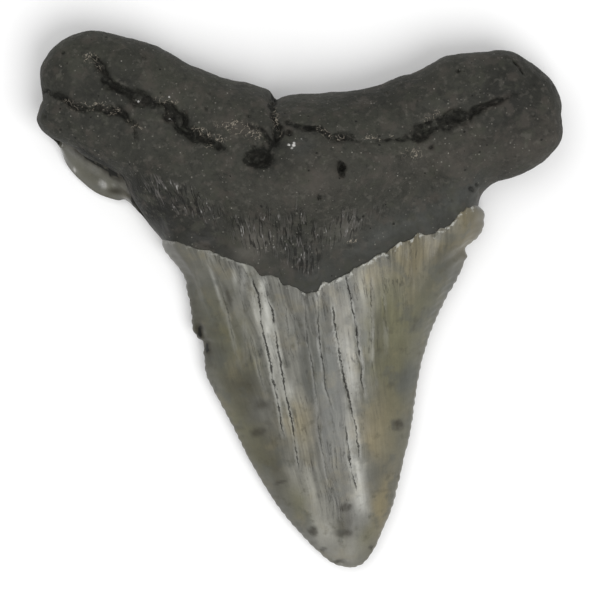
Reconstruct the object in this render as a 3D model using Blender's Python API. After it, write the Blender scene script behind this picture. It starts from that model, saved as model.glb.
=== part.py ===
"""A fossil megalodon tooth that lies on its flat labial face.

The tooth is one grown piece, so it is one closed solid: a two-lobed root, an enamel crown with worn
serrations, and the thin enamel heel that shows under the left lobe.
X runs along the root, Y from the crown's tip to the root, and Z up from the table, with the lingual
face on top. The origin is on the table, under the middle of the outline.
"""
import bmesh
import bpy
import numpy as np

MM = 0.001

# Driving dimensions, in millimetres
TOOTH_WIDTH = 52.4
TOOTH_LENGTH = 53.8
ROOT_THICKNESS = 12.4
LOBE_THICKNESS = 7.9
CROWN_THICKNESS = 8.2
ROOT_RIM_HEIGHT = 4.4
HEEL_EDGE_HEIGHT = 0.9
HEEL_TOP_HEIGHT = 2.0
ROOT_ROUNDING = 3.6
CORNER_EASE = 3.0
ROOT_BACK_ROUNDING = 3.4
CROWN_BACK_ROUNDING = 3.0
ENAMEL_STEP = 0.25
SERRATION_DEPTH = 0.14
SERRATIONS_PER_EDGE = 45

# The outline below is drawn at this size, and is scaled to the driving width and length
DRAWN_WIDTH = 52.4
DRAWN_LENGTH = 53.8

# Mesh density
LEFT_COLUMNS = 19
MIDDLE_COLUMNS = 42
RIGHT_COLUMNS = 15
FRONT_ROWS = 26
BACK_ROWS = 8
CROWN_ROWS = 30
CROWN_BACK_COLUMNS = 16
RIM_STEPS = 2 * SERRATIONS_PER_EDGE // CROWN_ROWS

# Number of stretches in the calm course of a cutting edge, and how fast its chips fade across the crown
CALM_STRETCHES = 7
CHIP_FADE = 12

# Sections across the left lobe, from its end to the crown's left corner: the top edge (x, y), the lower
# edge of the root (x, y), the edge of the enamel heel (x, y), the bow of the section line to the right,
# and the height of the lower rim
LEFT_LOBE = (
    (-25.60, 19.90, -25.60, 19.90, -25.60, 19.90, 0.00, 4.4),
    (-25.75, 20.90, -25.90, 19.20, -25.90, 19.20, 0.35, 4.4),
    (-25.90, 22.20, -26.20, 18.10, -26.20, 18.10, 0.80, 4.3),
    (-25.75, 23.50, -25.90, 17.20, -25.90, 17.20, 0.85, 4.2),
    (-25.10, 24.60, -25.20, 16.50, -25.20, 16.50, 0.55, 4.1),
    (-24.00, 25.65, -24.20, 15.90, -24.15, 15.45, 0.30, 4.0),
    (-22.60, 26.45, -22.90, 15.40, -23.40, 13.60, 0.10, 3.9),
    (-20.80, 26.90, -21.20, 14.25, -22.00, 12.00, 0.00, 3.9),
    (-19.00, 26.65, -19.40, 13.30, -20.30, 10.70, 0.00, 3.8),
    (-17.30, 26.20, -17.80, 12.20, -18.40, 10.05, 0.00, 3.6),
    (-16.00, 25.90, -16.90, 10.50, -17.30, 9.95, 0.00, 3.1),
    (-14.90, 25.55, -15.30, 7.85, -15.30, 7.85, 0.00, 2.4),
    (-13.80, 25.10, -13.80, 6.05, -13.80, 6.05, 0.00, 1.9),
)

# Sections across the right lobe, from the crown's right corner to its end: the top edge (x, y), the lower
# edge (x, y), the bow and the height of the lower rim
RIGHT_LOBE = (
    (17.85, 24.70, 17.85, 9.45, 0.00, 1.9),
    (18.80, 24.80, 18.30, 10.70, 0.00, 2.7),
    (19.90, 24.95, 19.50, 11.70, 0.00, 3.4),
    (21.10, 24.75, 21.00, 12.15, 0.00, 3.9),
    (22.30, 24.10, 22.60, 12.75, -0.10, 4.1),
    (23.60, 23.20, 24.10, 13.75, -0.20, 4.3),
    (24.70, 22.25, 25.15, 14.75, -0.30, 4.4),
    (25.40, 21.20, 25.95, 15.80, -0.40, 4.4),
    (25.90, 20.10, 26.15, 16.90, -0.35, 4.4),
    (26.05, 19.30, 26.10, 17.80, -0.20, 4.4),
    (26.00, 18.50, 26.00, 18.50, 0.00, 4.4),
)

# Top edge of the root between the corners of the crown, with the notch left of the middle
ROOT_TOP = (
    (-13.8, 25.1), (-12.5, 24.4), (-11.0, 23.5), (-9.5, 22.9), (-8.0, 22.3), (-6.5, 21.9), (-5.0, 21.6),
    (-3.8, 21.2), (-3.0, 20.8), (-2.4, 20.0), (-1.7, 20.25), (-0.5, 20.5), (2.5, 20.65), (5.5, 20.9),
    (7.0, 21.2), (8.5, 21.7), (10.0, 22.3), (11.5, 22.7), (13.0, 23.5), (14.5, 24.3), (16.0, 24.6),
    (17.85, 24.7),
)

# The edge of the enamel on the lingual face, from corner to corner of the crown
ENAMEL_EDGE = (
    (-13.8, 6.05), (-12.2, 5.7), (-10.7, 5.25), (-9.0, 4.9), (-7.6, 4.3), (-5.8, 3.6), (-4.7, 3.3),
    (-3.9, 2.4), (-2.1, 2.25), (-1.6, 1.5), (-0.3, 1.2), (0.6, 0.65), (1.7, 0.75), (2.2, 1.65), (3.3, 1.9),
    (4.3, 2.43), (5.2, 2.8), (6.7, 3.95), (7.6, 4.47), (8.7, 4.75), (9.2, 5.35), (10.2, 5.75),
    (11.3, 6.15), (13.5, 6.8), (15.0, 7.54), (15.8, 8.55), (16.7, 9.3), (17.85, 9.45),
)

# Cutting edges of the crown, from its corners to the tip
CROWN_LEFT = (
    (-13.8, 6.05), (-13.75, 5.4), (-13.2, 4.5), (-11.6, 2.4), (-11.3, 0.9), (-10.9, -0.9), (-10.75, -2.8),
    (-10.4, -3.6), (-9.7, -4.2), (-9.6, -5.6), (-9.4, -7.5), (-8.7, -9.0), (-7.6, -11.0), (-6.1, -14.0),
    (-4.5, -17.0), (-2.7, -20.0), (-1.2, -22.0), (0.6, -24.0), (1.7, -25.1), (2.8, -26.1), (3.8, -26.65),
    (5.0, -26.88),
)
CROWN_RIGHT = (
    (17.85, 9.45), (18.4, 8.9), (18.6, 8.2), (18.4, 7.3), (17.8, 6.3), (17.0, 5.65), (16.5, 5.1),
    (16.75, 4.4), (16.4, 3.4), (15.8, 2.3), (15.1, 1.05), (14.5, 0.0), (13.6, -2.0), (12.8, -4.1),
    (12.0, -7.0), (11.5, -10.0), (11.1, -13.0), (10.4, -16.0), (9.7, -19.0), (9.0, -21.5), (8.3, -23.0),
    (7.5, -24.9), (6.7, -26.1), (5.9, -26.7), (5.0, -26.88),
)

# Thickness of the crown and height of its cutting edge, at shares of the way from enamel edge to tip
CROWN_SHARES = (0.0, 0.2, 0.4, 0.6, 0.8, 0.9, 0.96, 1.0)
CROWN_RELATIVE_THICKNESS = (1.0, 0.94, 0.83, 0.69, 0.5, 0.37, 0.26, 0.16)
EDGE_HEIGHTS = (1.9, 1.85, 1.75, 1.65, 1.5, 1.4, 1.35, 1.3)
CROWN_FULLNESS = 0.72

# Grooves of the root: points along the groove, half width and depth
ROOT_GROOVES = (
    (((-20.6, 23.8), (-18.7, 21.4), (-16.0, 20.1), (-13.3, 19.1), (-11.8, 17.4), (-9.5, 16.1), (-7.5, 15.1)),
     0.8, 1.0),
    (((-24.7, 20.5), (-22.8, 19.7), (-21.1, 18.9), (-18.8, 18.8), (-16.8, 17.7), (-15.8, 17.0)), 0.65, 0.7),
    (((-1.1, 17.2), (1.6, 16.9), (3.9, 16.0), (7.8, 15.8), (11.9, 16.4), (14.8, 17.9), (18.1, 19.1),
      (22.0, 20.7)), 0.85, 0.95),
    (((-2.4, 20.3), (-2.7, 18.9), (-2.2, 17.0), (-2.3, 15.1)), 0.5, 1.0),
)

# Pits of the root: place, half width, half length and depth
ROOT_PITS = (
    ((-4.0, 13.9), 1.1, 0.8, 1.5),
    ((4.0, 12.9), 0.6, 0.75, 1.3),
    ((-1.1, 16.4), 0.5, 0.5, 0.7),
    ((13.0, 17.7), 1.8, 0.7, 0.5),
    ((17.1, 11.2), 0.55, 0.45, 0.5),
)

# Low waves of the root's surface: amplitude, wavelength along x and along y, and phase
ROOT_WAVES = (
    (0.16, 9.1, 7.3, 0.4),
    (0.12, 5.3, -6.1, 1.9),
    (0.08, 3.7, 4.4, 4.1),
)

# Finish of the fossil root and enamel together
TOOTH_COLOUR = (0.083, 0.080, 0.068, 1.0)
TOOTH_ROUGHNESS = 0.42


def clear_scene():
    """Remove whatever the scene holds."""
    for item in list(bpy.data.objects):
        bpy.data.objects.remove(item, do_unlink=True)


def curve_through(points, places):
    """Catmull-Rom curve through the points, read at places counted in points from the first."""
    points = np.asarray(points, float)
    ends = np.vstack((2 * points[0] - points[1], points, 2 * points[-1] - points[-2]))
    span = np.clip(np.floor(places).astype(int), 0, len(points) - 2)
    along = (np.asarray(places) - span)[:, None]
    before, start, end, after = (ends[span + offset] for offset in range(4))
    linear = (end - before) * along
    square = (2 * before - 5 * start + 4 * end - after) * along ** 2
    cube = (3 * start - before - 3 * end + after) * along ** 3
    return start + 0.5 * (linear + square + cube)


def drawn(points):
    """Outline points, smoothed and scaled from the drawn size to the driving one."""
    path = curve_through(points, np.linspace(0, len(points) - 1, 10 * len(points)))
    return path * (TOOTH_WIDTH / DRAWN_WIDTH, TOOTH_LENGTH / DRAWN_LENGTH)


def at_shares(path, shares):
    """Points at the given shares of a path's length."""
    steps = np.linalg.norm(np.diff(path, axis=0), axis=1)
    length = np.concatenate(([0.0], np.cumsum(steps)))
    return np.stack([np.interp(shares * length[-1], length, path[:, axis]) for axis in (0, 1)], axis=-1)


def path_distance(plan, path):
    """Distance in plan from every point of a grid to the nearest point of a path."""
    start = path[:-1]
    run = path[1:] - start
    offset = plan[..., None, :] - start
    share = np.clip((offset * run).sum(-1) / (run ** 2).sum(-1), 0.0, 1.0)
    return np.linalg.norm(offset - share[..., None] * run, axis=-1).min(axis=-1)


def rounding(distance, radius):
    """A quarter circle's rise: 0 at the rim, 1 from one radius inwards."""
    reach = np.clip(distance / radius, 0.0, 1.0)
    return np.sqrt(1.0 - (1.0 - reach) ** 2)


def smooth_step(value):
    """A rise from 0 to 1 that is level at both ends."""
    value = np.clip(value, 0.0, 1.0)
    return value * value * (3.0 - 2.0 * value)


def bell(distance):
    """A hump of height 1 whose half width is the unit of distance."""
    return np.exp(-distance ** 2)


class Outline:
    """The tooth's plan: section lines across the root, the enamel edge and the cutting edges."""

    def __init__(self):
        scale = np.array((TOOTH_WIDTH / DRAWN_WIDTH, TOOTH_LENGTH / DRAWN_LENGTH))
        left = curve_through(LEFT_LOBE, np.linspace(0, len(LEFT_LOBE) - 1, LEFT_COLUMNS + 1))
        right = curve_through(RIGHT_LOBE, np.linspace(0, len(RIGHT_LOBE) - 1, RIGHT_COLUMNS + 1))
        top_edge = drawn(ROOT_TOP)
        self.enamel = drawn(ENAMEL_EDGE)
        self.crown_left = drawn(CROWN_LEFT)
        self.crown_right = drawn(CROWN_RIGHT)
        even = np.linspace(0.0, 1.0, MIDDLE_COLUMNS + 1)
        self.across = 0.6 * even + 0.2 * (1.0 - np.cos(np.pi * even))
        middle_x = self.enamel[0, 0] + (self.enamel[-1, 0] - self.enamel[0, 0]) * self.across
        middle_top = np.stack((middle_x, np.interp(middle_x, *top_edge.T)), axis=-1)
        middle_low = np.stack((middle_x, np.interp(middle_x, *self.enamel.T)), axis=-1)
        self.left = slice(0, LEFT_COLUMNS + 1)
        self.middle = slice(LEFT_COLUMNS, LEFT_COLUMNS + MIDDLE_COLUMNS + 1)
        self.top = np.vstack((left[:, 0:2] * scale, middle_top[1:-1], right[:, 0:2] * scale))
        self.low = np.vstack((left[:, 2:4] * scale, middle_low[1:-1], right[:, 2:4] * scale))
        self.heel = np.vstack((left[:, 4:6] * scale, self.low[LEFT_COLUMNS + 1:]))
        self.bow = np.concatenate((left[:, 6], np.zeros(MIDDLE_COLUMNS - 1), right[:, 4]))
        self.low_height = np.concatenate((left[:, 7], crown_lens(self.across, 0.0)[1:-1], right[:, 5]))
        self.top_height = np.full(len(self.top), ROOT_RIM_HEIGHT)
        right_start = LEFT_COLUMNS + MIDDLE_COLUMNS
        self.root_rims = (self.top, self.low[:LEFT_COLUMNS + 1], self.low[right_start:])
        self.rims = (self.top, self.heel[:LEFT_COLUMNS + 1], self.low[right_start:],
                     self.crown_left, self.crown_right)

    def rim_distance(self, plan, rims):
        """Distance from a grid of plan points to the nearest of several rims."""
        return np.min([path_distance(plan, rim) for rim in rims], axis=0)


def crown_lens(across, along):
    """Height of the crown's lingual face: a full lens across, thinning from the enamel edge to the tip."""
    edge = np.interp(along, CROWN_SHARES, EDGE_HEIGHTS)
    middle = CROWN_THICKNESS * np.interp(along, CROWN_SHARES, CROWN_RELATIVE_THICKNESS)
    return edge + (middle - edge) * (4.0 * across * (1.0 - across)).clip(0.0) ** CROWN_FULLNESS


def root_relief(plan):
    """Grooves, pits and low waves of the root's lingual face, as a change of height."""
    x, y = plan[..., 0], plan[..., 1]
    relief = np.zeros(x.shape)
    for amplitude, wave_x, wave_y, phase in ROOT_WAVES:
        relief += amplitude * np.sin(2 * np.pi * (x / wave_x + y / wave_y) + phase)
    for points, half_width, depth in ROOT_GROOVES:
        relief -= depth * bell(path_distance(plan, drawn(points)) / half_width)
    for (pit_x, pit_y), half_width, half_length, depth in ROOT_PITS:
        reach = np.hypot((x - pit_x) / half_width, (y - pit_y) / half_length)
        relief -= depth * bell(reach)
    return relief


def corner_nearness(outline, plan):
    """How near a point of the root is to the crown's corners, where its flanks slope more gently."""
    left = np.linalg.norm(plan - outline.enamel[0], axis=-1)
    right = np.linalg.norm(plan - outline.enamel[-1], axis=-1)
    return bell(left / 6.0) + 0.8 * bell(right / 5.0)


def root_front(outline):
    """Lingual face of the root: rounded rims, a swelling in the middle and a fall to the enamel edge."""
    even = np.linspace(0.0, 1.0, FRONT_ROWS + 1)
    share = (0.5 * even + 0.25 * (1.0 - np.cos(np.pi * even)))[None, :, None]
    plan = outline.top[:, None] + (outline.low - outline.top)[:, None] * share
    plan[..., 0] += outline.bow[:, None] * (4.0 * share * (1.0 - share))[..., 0]
    x, y = plan[..., 0], plan[..., 1]
    base = outline.top_height[:, None] + (outline.low_height - outline.top_height)[:, None] * share[..., 0]
    radius = ROOT_ROUNDING + CORNER_EASE * corner_nearness(outline, plan)
    rise = rounding(outline.rim_distance(plan, outline.root_rims), radius)
    swelling = (ROOT_THICKNESS - LOBE_THICKNESS) * bell((x - 0.5) / 11.0) * bell((y - 12.5) / 7.0)
    crest = LOBE_THICKNESS + swelling
    enamel_y = np.interp(x, *outline.enamel.T)
    corner = np.minimum(x - outline.enamel[0, 0], outline.enamel[-1, 0] - x)
    inside = smooth_step(corner / 6.5)
    fall = 1.0 - inside * (1.0 - smooth_step((y - enamel_y) / (4.0 + 6.0 * inside)) ** 1.2)
    height = base + (crest - base) * rise * fall + root_relief(plan) * rise * fall
    return np.concatenate((plan, height[..., None]), axis=-1)


def heel_strip(outline, front):
    """Under the left lobe: the root's rim turns under, then the enamel heel runs out to its thin edge."""
    low, heel = outline.low[outline.left], outline.heel[outline.left]
    rim = front[outline.left, -1, 2]
    width = np.linalg.norm(heel - low, axis=1)
    shown = smooth_step(width / 0.8)
    inward = outline.top[outline.left] - low
    inward = inward / np.maximum(np.linalg.norm(inward, axis=1), 1e-6)[:, None]
    undercut = low + 0.55 * shown[:, None] * inward
    half_under = rim + shown * 0.45 * (HEEL_TOP_HEIGHT - rim)
    top = rim + shown * (HEEL_TOP_HEIGHT - rim)
    edge = rim + shown * (HEEL_EDGE_HEIGHT - rim)
    rows = (
        (low, rim),
        (low + 0.6 * (undercut - low), half_under),
        (undercut, top),
        (low + 0.55 * (heel - low), rim + shown * (0.9 * HEEL_TOP_HEIGHT - rim)),
        (heel, edge),
    )
    return np.stack([np.column_stack((place, height)) for place, height in rows], axis=1)


def back_height(outline, plan, rim_height, radius):
    """Labial face: level on the table, rounded up to the rims, with a shallow hollow in the root."""
    x, y = plan[..., 0], plan[..., 1]
    hollow = 0.5 * bell(x / 7.0) * bell((y - 15.5) / 2.6)
    level = np.where(hollow > 0.05, hollow, 0.0)
    rise = rounding(outline.rim_distance(plan, outline.rims), radius)
    return level + (rim_height - level) * (1.0 - rise)


def root_back(outline, low_height):
    """Labial face of the root, from the top edge to the heel, the crown and the right lobe's lower edge."""
    chord = at_shares(np.array((outline.enamel[0], outline.enamel[-1])), outline.across)
    low = outline.heel.copy()
    low[outline.middle] = chord
    even = np.linspace(0.0, 1.0, BACK_ROWS + 1)
    share = (0.4 * even + 0.3 * (1.0 - np.cos(np.pi * even)))[None, :, None]
    plan = outline.top[:, None] + (low - outline.top)[:, None] * share
    plan[..., 0] += outline.bow[:, None] * (4.0 * share * (1.0 - share))[..., 0]
    base = outline.top_height[:, None] + (low_height - outline.top_height)[:, None] * share[..., 0]
    height = back_height(outline, plan, base, ROOT_BACK_ROUNDING)
    return np.concatenate((plan, height[..., None]), axis=-1)


def crown_rim(path, outward):
    """A cutting edge with worn serrations, which fade out at the crown's corner and at the tip."""
    share = np.linspace(0.0, 1.0, RIM_STEPS * CROWN_ROWS + 1)
    place = at_shares(path, share)
    run = np.gradient(place, axis=0)
    run /= np.maximum(np.linalg.norm(run, axis=1), 1e-6)[:, None]
    normal = outward * np.column_stack((run[:, 1], -run[:, 0]))
    tooth = np.where(np.arange(len(share)) % 2, 0.5, -0.5) * SERRATION_DEPTH
    fade = smooth_step(share / 0.04) * smooth_step((1.0 - share) / 0.05)
    place = place + normal * (tooth * fade)[:, None]
    return np.column_stack((place, np.interp(share, CROWN_SHARES, EDGE_HEIGHTS)))


def crown_rows():
    """Shares along the crown of its section lines, with one close to the enamel edge for its step."""
    rows = np.linspace(0.0, 1.0, CROWN_ROWS + 1)
    return np.insert(rows, 1, 0.006)


def calm_course(path, shares):
    """A path's overall course, without its chips and notches."""
    knots = at_shares(path, np.linspace(0.0, 1.0, CALM_STRETCHES + 1))
    return curve_through(knots, shares * CALM_STRETCHES)


def crown_face(outline, across, along, sag):
    """Plan of the crown's section lines: from edge to edge, sagging with the enamel edge near the root."""
    left = calm_course(outline.crown_left, along)[:, None]
    right = calm_course(outline.crown_right, along)[:, None]
    left_chips = at_shares(outline.crown_left, along)[:, None] - left
    right_chips = at_shares(outline.crown_right, along)[:, None] - right
    share = across[None, :, None]
    plan = left + (right - left) * share
    plan += left_chips * (1.0 - share) ** CHIP_FADE + right_chips * share ** CHIP_FADE
    plan[..., 1] += sag[None, :] * (1.0 - along[:, None]) ** 1.6
    return plan


def crown_front(outline, front):
    """Lingual face of the crown, which starts on the root's lower edge and steps up to the enamel."""
    across, along = outline.across, crown_rows()
    start = front[outline.middle, -1]
    chord_y = start[0, 1] + (start[-1, 1] - start[0, 1]) * across
    plan = crown_face(outline, across, along, start[:, 1] - chord_y)
    lens = crown_lens(across[None, :], along[:, None])
    step = ENAMEL_STEP * smooth_step(np.minimum(across, 1.0 - across) / 0.06)
    offset = start[:, 2] - crown_lens(across, 0.0)
    fade = np.clip(1.0 - along / 0.2, 0.0, 1.0) ** 2
    height = lens + (offset + step)[None, :] * fade[:, None]
    height[0] = start[:, 2]
    return np.concatenate((plan, height[..., None]), axis=-1)


def crown_back(outline):
    """Labial face of the crown."""
    across = np.linspace(0.0, 1.0, CROWN_BACK_COLUMNS + 1)
    along = np.linspace(0.0, 1.0, CROWN_ROWS + 1)
    plan = crown_face(outline, across, along, np.zeros(len(across)))
    edge = np.interp(along, CROWN_SHARES, EDGE_HEIGHTS)[:, None]
    height = back_height(outline, plan, edge, CROWN_BACK_ROUNDING)
    height[-1] = edge[-1]
    return np.concatenate((plan, height[..., None]), axis=-1)


class Surface:
    """Points and faces of the tooth, gathered sheet by sheet; shared borders are merged at the end."""

    def __init__(self):
        self.points = []
        self.faces = []

    def place(self, grid):
        """Add points and give back their numbers in the grid's own arrangement."""
        first = len(self.points)
        self.points.extend(grid.reshape(-1, 3).tolist())
        return first + np.arange(grid[..., 0].size).reshape(grid.shape[:-1])

    def quads(self, numbers):
        """Fill a grid of point numbers with four-sided faces."""
        corners = (numbers[:-1, :-1], numbers[1:, :-1], numbers[1:, 1:], numbers[:-1, 1:])
        self.faces.extend(np.stack(corners, axis=-1).reshape(-1, 4).tolist())

    def stitch(self, first, second):
        """Fill the strip between two rows of points, which may differ in number, with triangles."""
        one = two = 0
        while one < len(first) - 1 or two < len(second) - 1:
            if (one + 1) * (len(second) - 1) <= (two + 1) * (len(first) - 1) and one < len(first) - 1:
                self.faces.append([first[one], first[one + 1], second[two]])
                one += 1
            else:
                self.faces.append([first[one], second[two + 1], second[two]])
                two += 1

    def mesh(self, name):
        """One closed mesh in metres, with its doubles merged and its faces pointing out."""
        mesh = bpy.data.meshes.new(name)
        mesh.from_pydata([tuple(MM * value for value in point) for point in self.points], [], self.faces)
        work = bmesh.new()
        work.from_mesh(mesh)
        bmesh.ops.remove_doubles(work, verts=work.verts, dist=0.002 * MM)
        bmesh.ops.dissolve_degenerate(work, edges=work.edges, dist=0.002 * MM)
        bmesh.ops.triangulate(work, faces=work.faces)
        bmesh.ops.recalc_face_normals(work, faces=work.faces)
        work.to_mesh(mesh)
        work.free()
        return mesh


def add_crown_face(surface, grid, rims, start_row):
    """Join one face of the crown to the root's border row above it and to its two serrated edges."""
    numbers = surface.place(grid[1:, 1:-1])
    surface.quads(numbers)
    surface.stitch(start_row, numbers[0])
    surface.stitch(rims[0], numbers[:, 0])
    surface.stitch(rims[1], numbers[:, -1])


def tooth_material():
    """One finish for the whole fossil."""
    material = bpy.data.materials.new("fossil_tooth")
    material.use_nodes = True
    shader = material.node_tree.nodes["Principled BSDF"]
    shader.inputs["Base Color"].default_value = TOOTH_COLOUR
    shader.inputs["Roughness"].default_value = TOOTH_ROUGHNESS
    shader.inputs["Metallic"].default_value = 0.0
    return material


def build_tooth():
    """The whole tooth as one named object."""
    outline = Outline()
    surface = Surface()
    front = root_front(outline)
    heel = heel_strip(outline, front)
    low_height = outline.low_height.copy()
    low_height[outline.left] = heel[:, -1, 2]
    back = root_back(outline, low_height)
    front_numbers = surface.place(front)
    back_numbers = surface.place(back)
    surface.quads(front_numbers)
    surface.quads(surface.place(heel))
    surface.quads(back_numbers)
    rims = [
        surface.place(crown_rim(outline.crown_left, 1.0)),
        surface.place(crown_rim(outline.crown_right, -1.0)),
    ]
    add_crown_face(surface, crown_front(outline, front), rims, front_numbers[outline.middle, -1])
    add_crown_face(surface, crown_back(outline), rims, back_numbers[outline.middle, -1])
    tooth = bpy.data.objects.new("tooth", surface.mesh("tooth"))
    bpy.context.scene.collection.objects.link(tooth)
    tooth.data.materials.append(tooth_material())
    tooth.data.shade_smooth()
    tooth.data.set_sharp_from_angle(angle=np.radians(40.0))
    return tooth


clear_scene()
build_tooth()
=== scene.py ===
import bpy
import numpy as np
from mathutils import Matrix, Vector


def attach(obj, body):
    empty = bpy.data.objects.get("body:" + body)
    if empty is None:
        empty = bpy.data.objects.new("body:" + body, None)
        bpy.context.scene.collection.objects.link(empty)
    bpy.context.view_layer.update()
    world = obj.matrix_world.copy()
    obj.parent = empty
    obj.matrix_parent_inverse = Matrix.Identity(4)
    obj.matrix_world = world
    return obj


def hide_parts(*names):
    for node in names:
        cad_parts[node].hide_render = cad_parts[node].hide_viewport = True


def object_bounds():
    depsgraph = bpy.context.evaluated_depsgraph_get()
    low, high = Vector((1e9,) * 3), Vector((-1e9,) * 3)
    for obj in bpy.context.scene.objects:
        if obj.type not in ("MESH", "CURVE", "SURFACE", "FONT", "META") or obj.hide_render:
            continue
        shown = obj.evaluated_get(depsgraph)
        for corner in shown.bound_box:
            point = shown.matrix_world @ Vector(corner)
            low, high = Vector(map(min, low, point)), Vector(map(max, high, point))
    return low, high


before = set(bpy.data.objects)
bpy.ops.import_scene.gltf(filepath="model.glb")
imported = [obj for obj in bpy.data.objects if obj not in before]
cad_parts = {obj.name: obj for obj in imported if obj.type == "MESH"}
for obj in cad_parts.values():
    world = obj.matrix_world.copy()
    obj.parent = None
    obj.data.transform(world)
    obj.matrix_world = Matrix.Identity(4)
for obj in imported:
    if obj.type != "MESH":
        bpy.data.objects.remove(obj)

# A fossil megalodon tooth that lies on its flat labial face, laid out as an add-on: its sizes and colours
# are properties, and one operator makes the tooth and another the stage. Shapes are worked out in
# millimetres in the frame's axes: X along the root, Y from the tip to the root, Z up from the table.

CAD_BOX = [list(corner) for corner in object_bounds()]
CAD_SIZE = [high - low for low, high in zip(*CAD_BOX)]

bl_info = {
    "name": "Fossil megalodon tooth",
    "version": (1, 0, 0),
    "blender": (4, 5, 0),
    "location": "3D View > Sidebar > Tooth",
    "description": "Makes a fossil shark tooth with a lobed root and a worn enamel crown",
    "category": "Object",
}

MM = 0.001

# The outline tables below are drawn at this width, length and height, and follow the sizes in the panel
DRAWN_SIZE = np.array((52.3, 53.8, 12.5))

# Mesh density
LEFT_COLUMNS = 92
MIDDLE_COLUMNS = 176
RIGHT_COLUMNS = 72
FRONT_ROWS = 116
BACK_ROWS = 20
HEEL_ROWS = 29
CROWN_ROWS = 186
CROWN_BACK_ROWS = 110
CROWN_BACK_COLUMNS = 48
RIM_POINTS = 400
MERGE_DISTANCE = 0.0005

# Heights and roundings of the whole form
LOBE_HEIGHT = 7.9
SWELLING_HEIGHT = 4.5
ROOT_RIM_HEIGHT = 4.4
CROWN_HEIGHT = 8.2
HEEL_EDGE_HEIGHT = 0.9
HEEL_TOP_HEIGHT = 2.0
ROOT_ROUNDING = 3.6
CORNER_EASE = 3.0
ROOT_BACK_ROUNDING = 3.4
CROWN_BACK_ROUNDING = 3.0
CALM_STRETCHES = 7
CHIP_FADE = 12
SERRATION_REACH = 0.8
GROOVE_WEAR = 0.8
LEVEL_HEIGHT = 0.8

# Centre and rate of the fans that the crown's cracks and the root's strokes follow
CROWN_FAN = (11.5, 0.02)
ROOT_FAN = (1.0, 0.03)

# Depth from which a hollow's painted shade is full, the x where the heel ends, and the crown's axis on the
# plan, x = first + second * y, about which the labial face's marks are mirrored
FULL_HOLLOW = 0.38
HEEL_END = -14.0
CROWN_AXIS = (2.3857143, -0.0857143)

# Sections across the left lobe, from its end to the crown's left corner: the top edge (x, y), the lower
# edge of the root (x, y), the edge of the enamel heel (x, y), the bow of the section line to the right,
# and the height of the lower rim
LEFT_LOBE = (
    (-25.60, 19.90, -25.60, 19.90, -25.60, 19.90, 0.00, 4.4),
    (-25.75, 20.90, -25.90, 19.20, -25.90, 19.20, 0.35, 4.4),
    (-25.90, 22.20, -26.20, 18.10, -26.20, 18.10, 0.80, 4.3),
    (-25.75, 23.50, -25.90, 17.20, -25.90, 17.20, 0.85, 4.2),
    (-25.10, 24.60, -25.20, 16.50, -25.20, 16.50, 0.55, 4.1),
    (-24.00, 25.65, -24.20, 15.90, -24.15, 15.45, 0.30, 4.0),
    (-22.60, 26.45, -22.90, 15.40, -23.40, 13.60, 0.10, 3.9),
    (-20.80, 26.90, -21.20, 14.25, -22.00, 12.00, 0.00, 3.9),
    (-19.00, 26.65, -19.40, 13.30, -20.30, 10.70, 0.00, 3.8),
    (-17.30, 26.20, -17.80, 12.20, -18.40, 10.05, 0.00, 3.6),
    (-16.00, 25.90, -16.90, 10.50, -17.30, 9.95, 0.00, 3.1),
    (-14.90, 25.55, -15.30, 7.85, -15.30, 7.85, 0.00, 2.4),
    (-13.80, 25.10, -13.80, 6.05, -13.80, 6.05, 0.00, 1.9),
)

# Sections across the right lobe, from the crown's right corner to its end: the top edge (x, y), the lower
# edge (x, y), the bow and the height of the lower rim
RIGHT_LOBE = (
    (17.85, 24.70, 17.85, 9.45, 0.00, 1.9),
    (18.80, 24.80, 18.30, 10.70, 0.00, 2.7),
    (19.90, 24.95, 19.50, 11.70, 0.00, 3.4),
    (21.10, 24.75, 21.00, 12.15, 0.00, 3.9),
    (22.30, 24.10, 22.60, 12.75, -0.10, 4.1),
    (23.60, 23.20, 24.10, 13.75, -0.20, 4.3),
    (24.70, 22.25, 25.15, 14.75, -0.30, 4.4),
    (25.40, 21.20, 25.95, 15.80, -0.40, 4.4),
    (25.90, 20.10, 26.15, 16.90, -0.35, 4.4),
    (26.05, 19.30, 26.10, 17.80, -0.20, 4.4),
    (26.00, 18.50, 26.00, 18.50, 0.00, 4.4),
)

# Top edge of the root between the corners of the crown, with the notch left of the middle
ROOT_TOP = (
    (-13.8, 25.1), (-12.5, 24.4), (-11.0, 23.5), (-9.5, 22.9), (-8.0, 22.3), (-6.5, 21.9), (-5.0, 21.6),
    (-3.8, 21.2), (-3.0, 20.8), (-2.4, 20.0), (-1.7, 20.25), (-0.5, 20.5), (2.5, 20.65), (5.5, 20.9),
    (7.0, 21.2), (8.5, 21.7), (10.0, 22.3), (11.5, 22.7), (13.0, 23.5), (14.5, 24.3), (16.0, 24.6),
    (17.85, 24.7),
)

# The chipped edge of the enamel on the lingual face, from corner to corner of the crown
ENAMEL_EDGE = (
    (-13.80, 6.05), (-12.13, 5.70), (-10.75, 5.24), (-9.03, 4.90), (-7.65, 4.33), (-5.82, 3.64),
    (-4.67, 3.30), (-3.98, 2.37), (-2.95, 2.50), (-2.14, 2.26), (-1.80, 1.57), (-0.30, 1.23), (0.50, 0.65),
    (1.76, 0.77), (2.22, 1.70), (3.28, 1.92), (4.30, 2.43), (5.06, 2.56), (5.32, 3.20), (5.95, 3.45),
    (6.72, 3.96), (7.60, 4.47), (8.63, 4.60), (9.02, 5.24), (10.16, 5.75), (11.18, 6.00), (11.57, 6.52),
    (13.48, 6.77), (13.86, 7.15), (15.00, 7.54), (15.78, 8.56), (16.67, 9.32), (17.85, 9.45),
)

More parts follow.
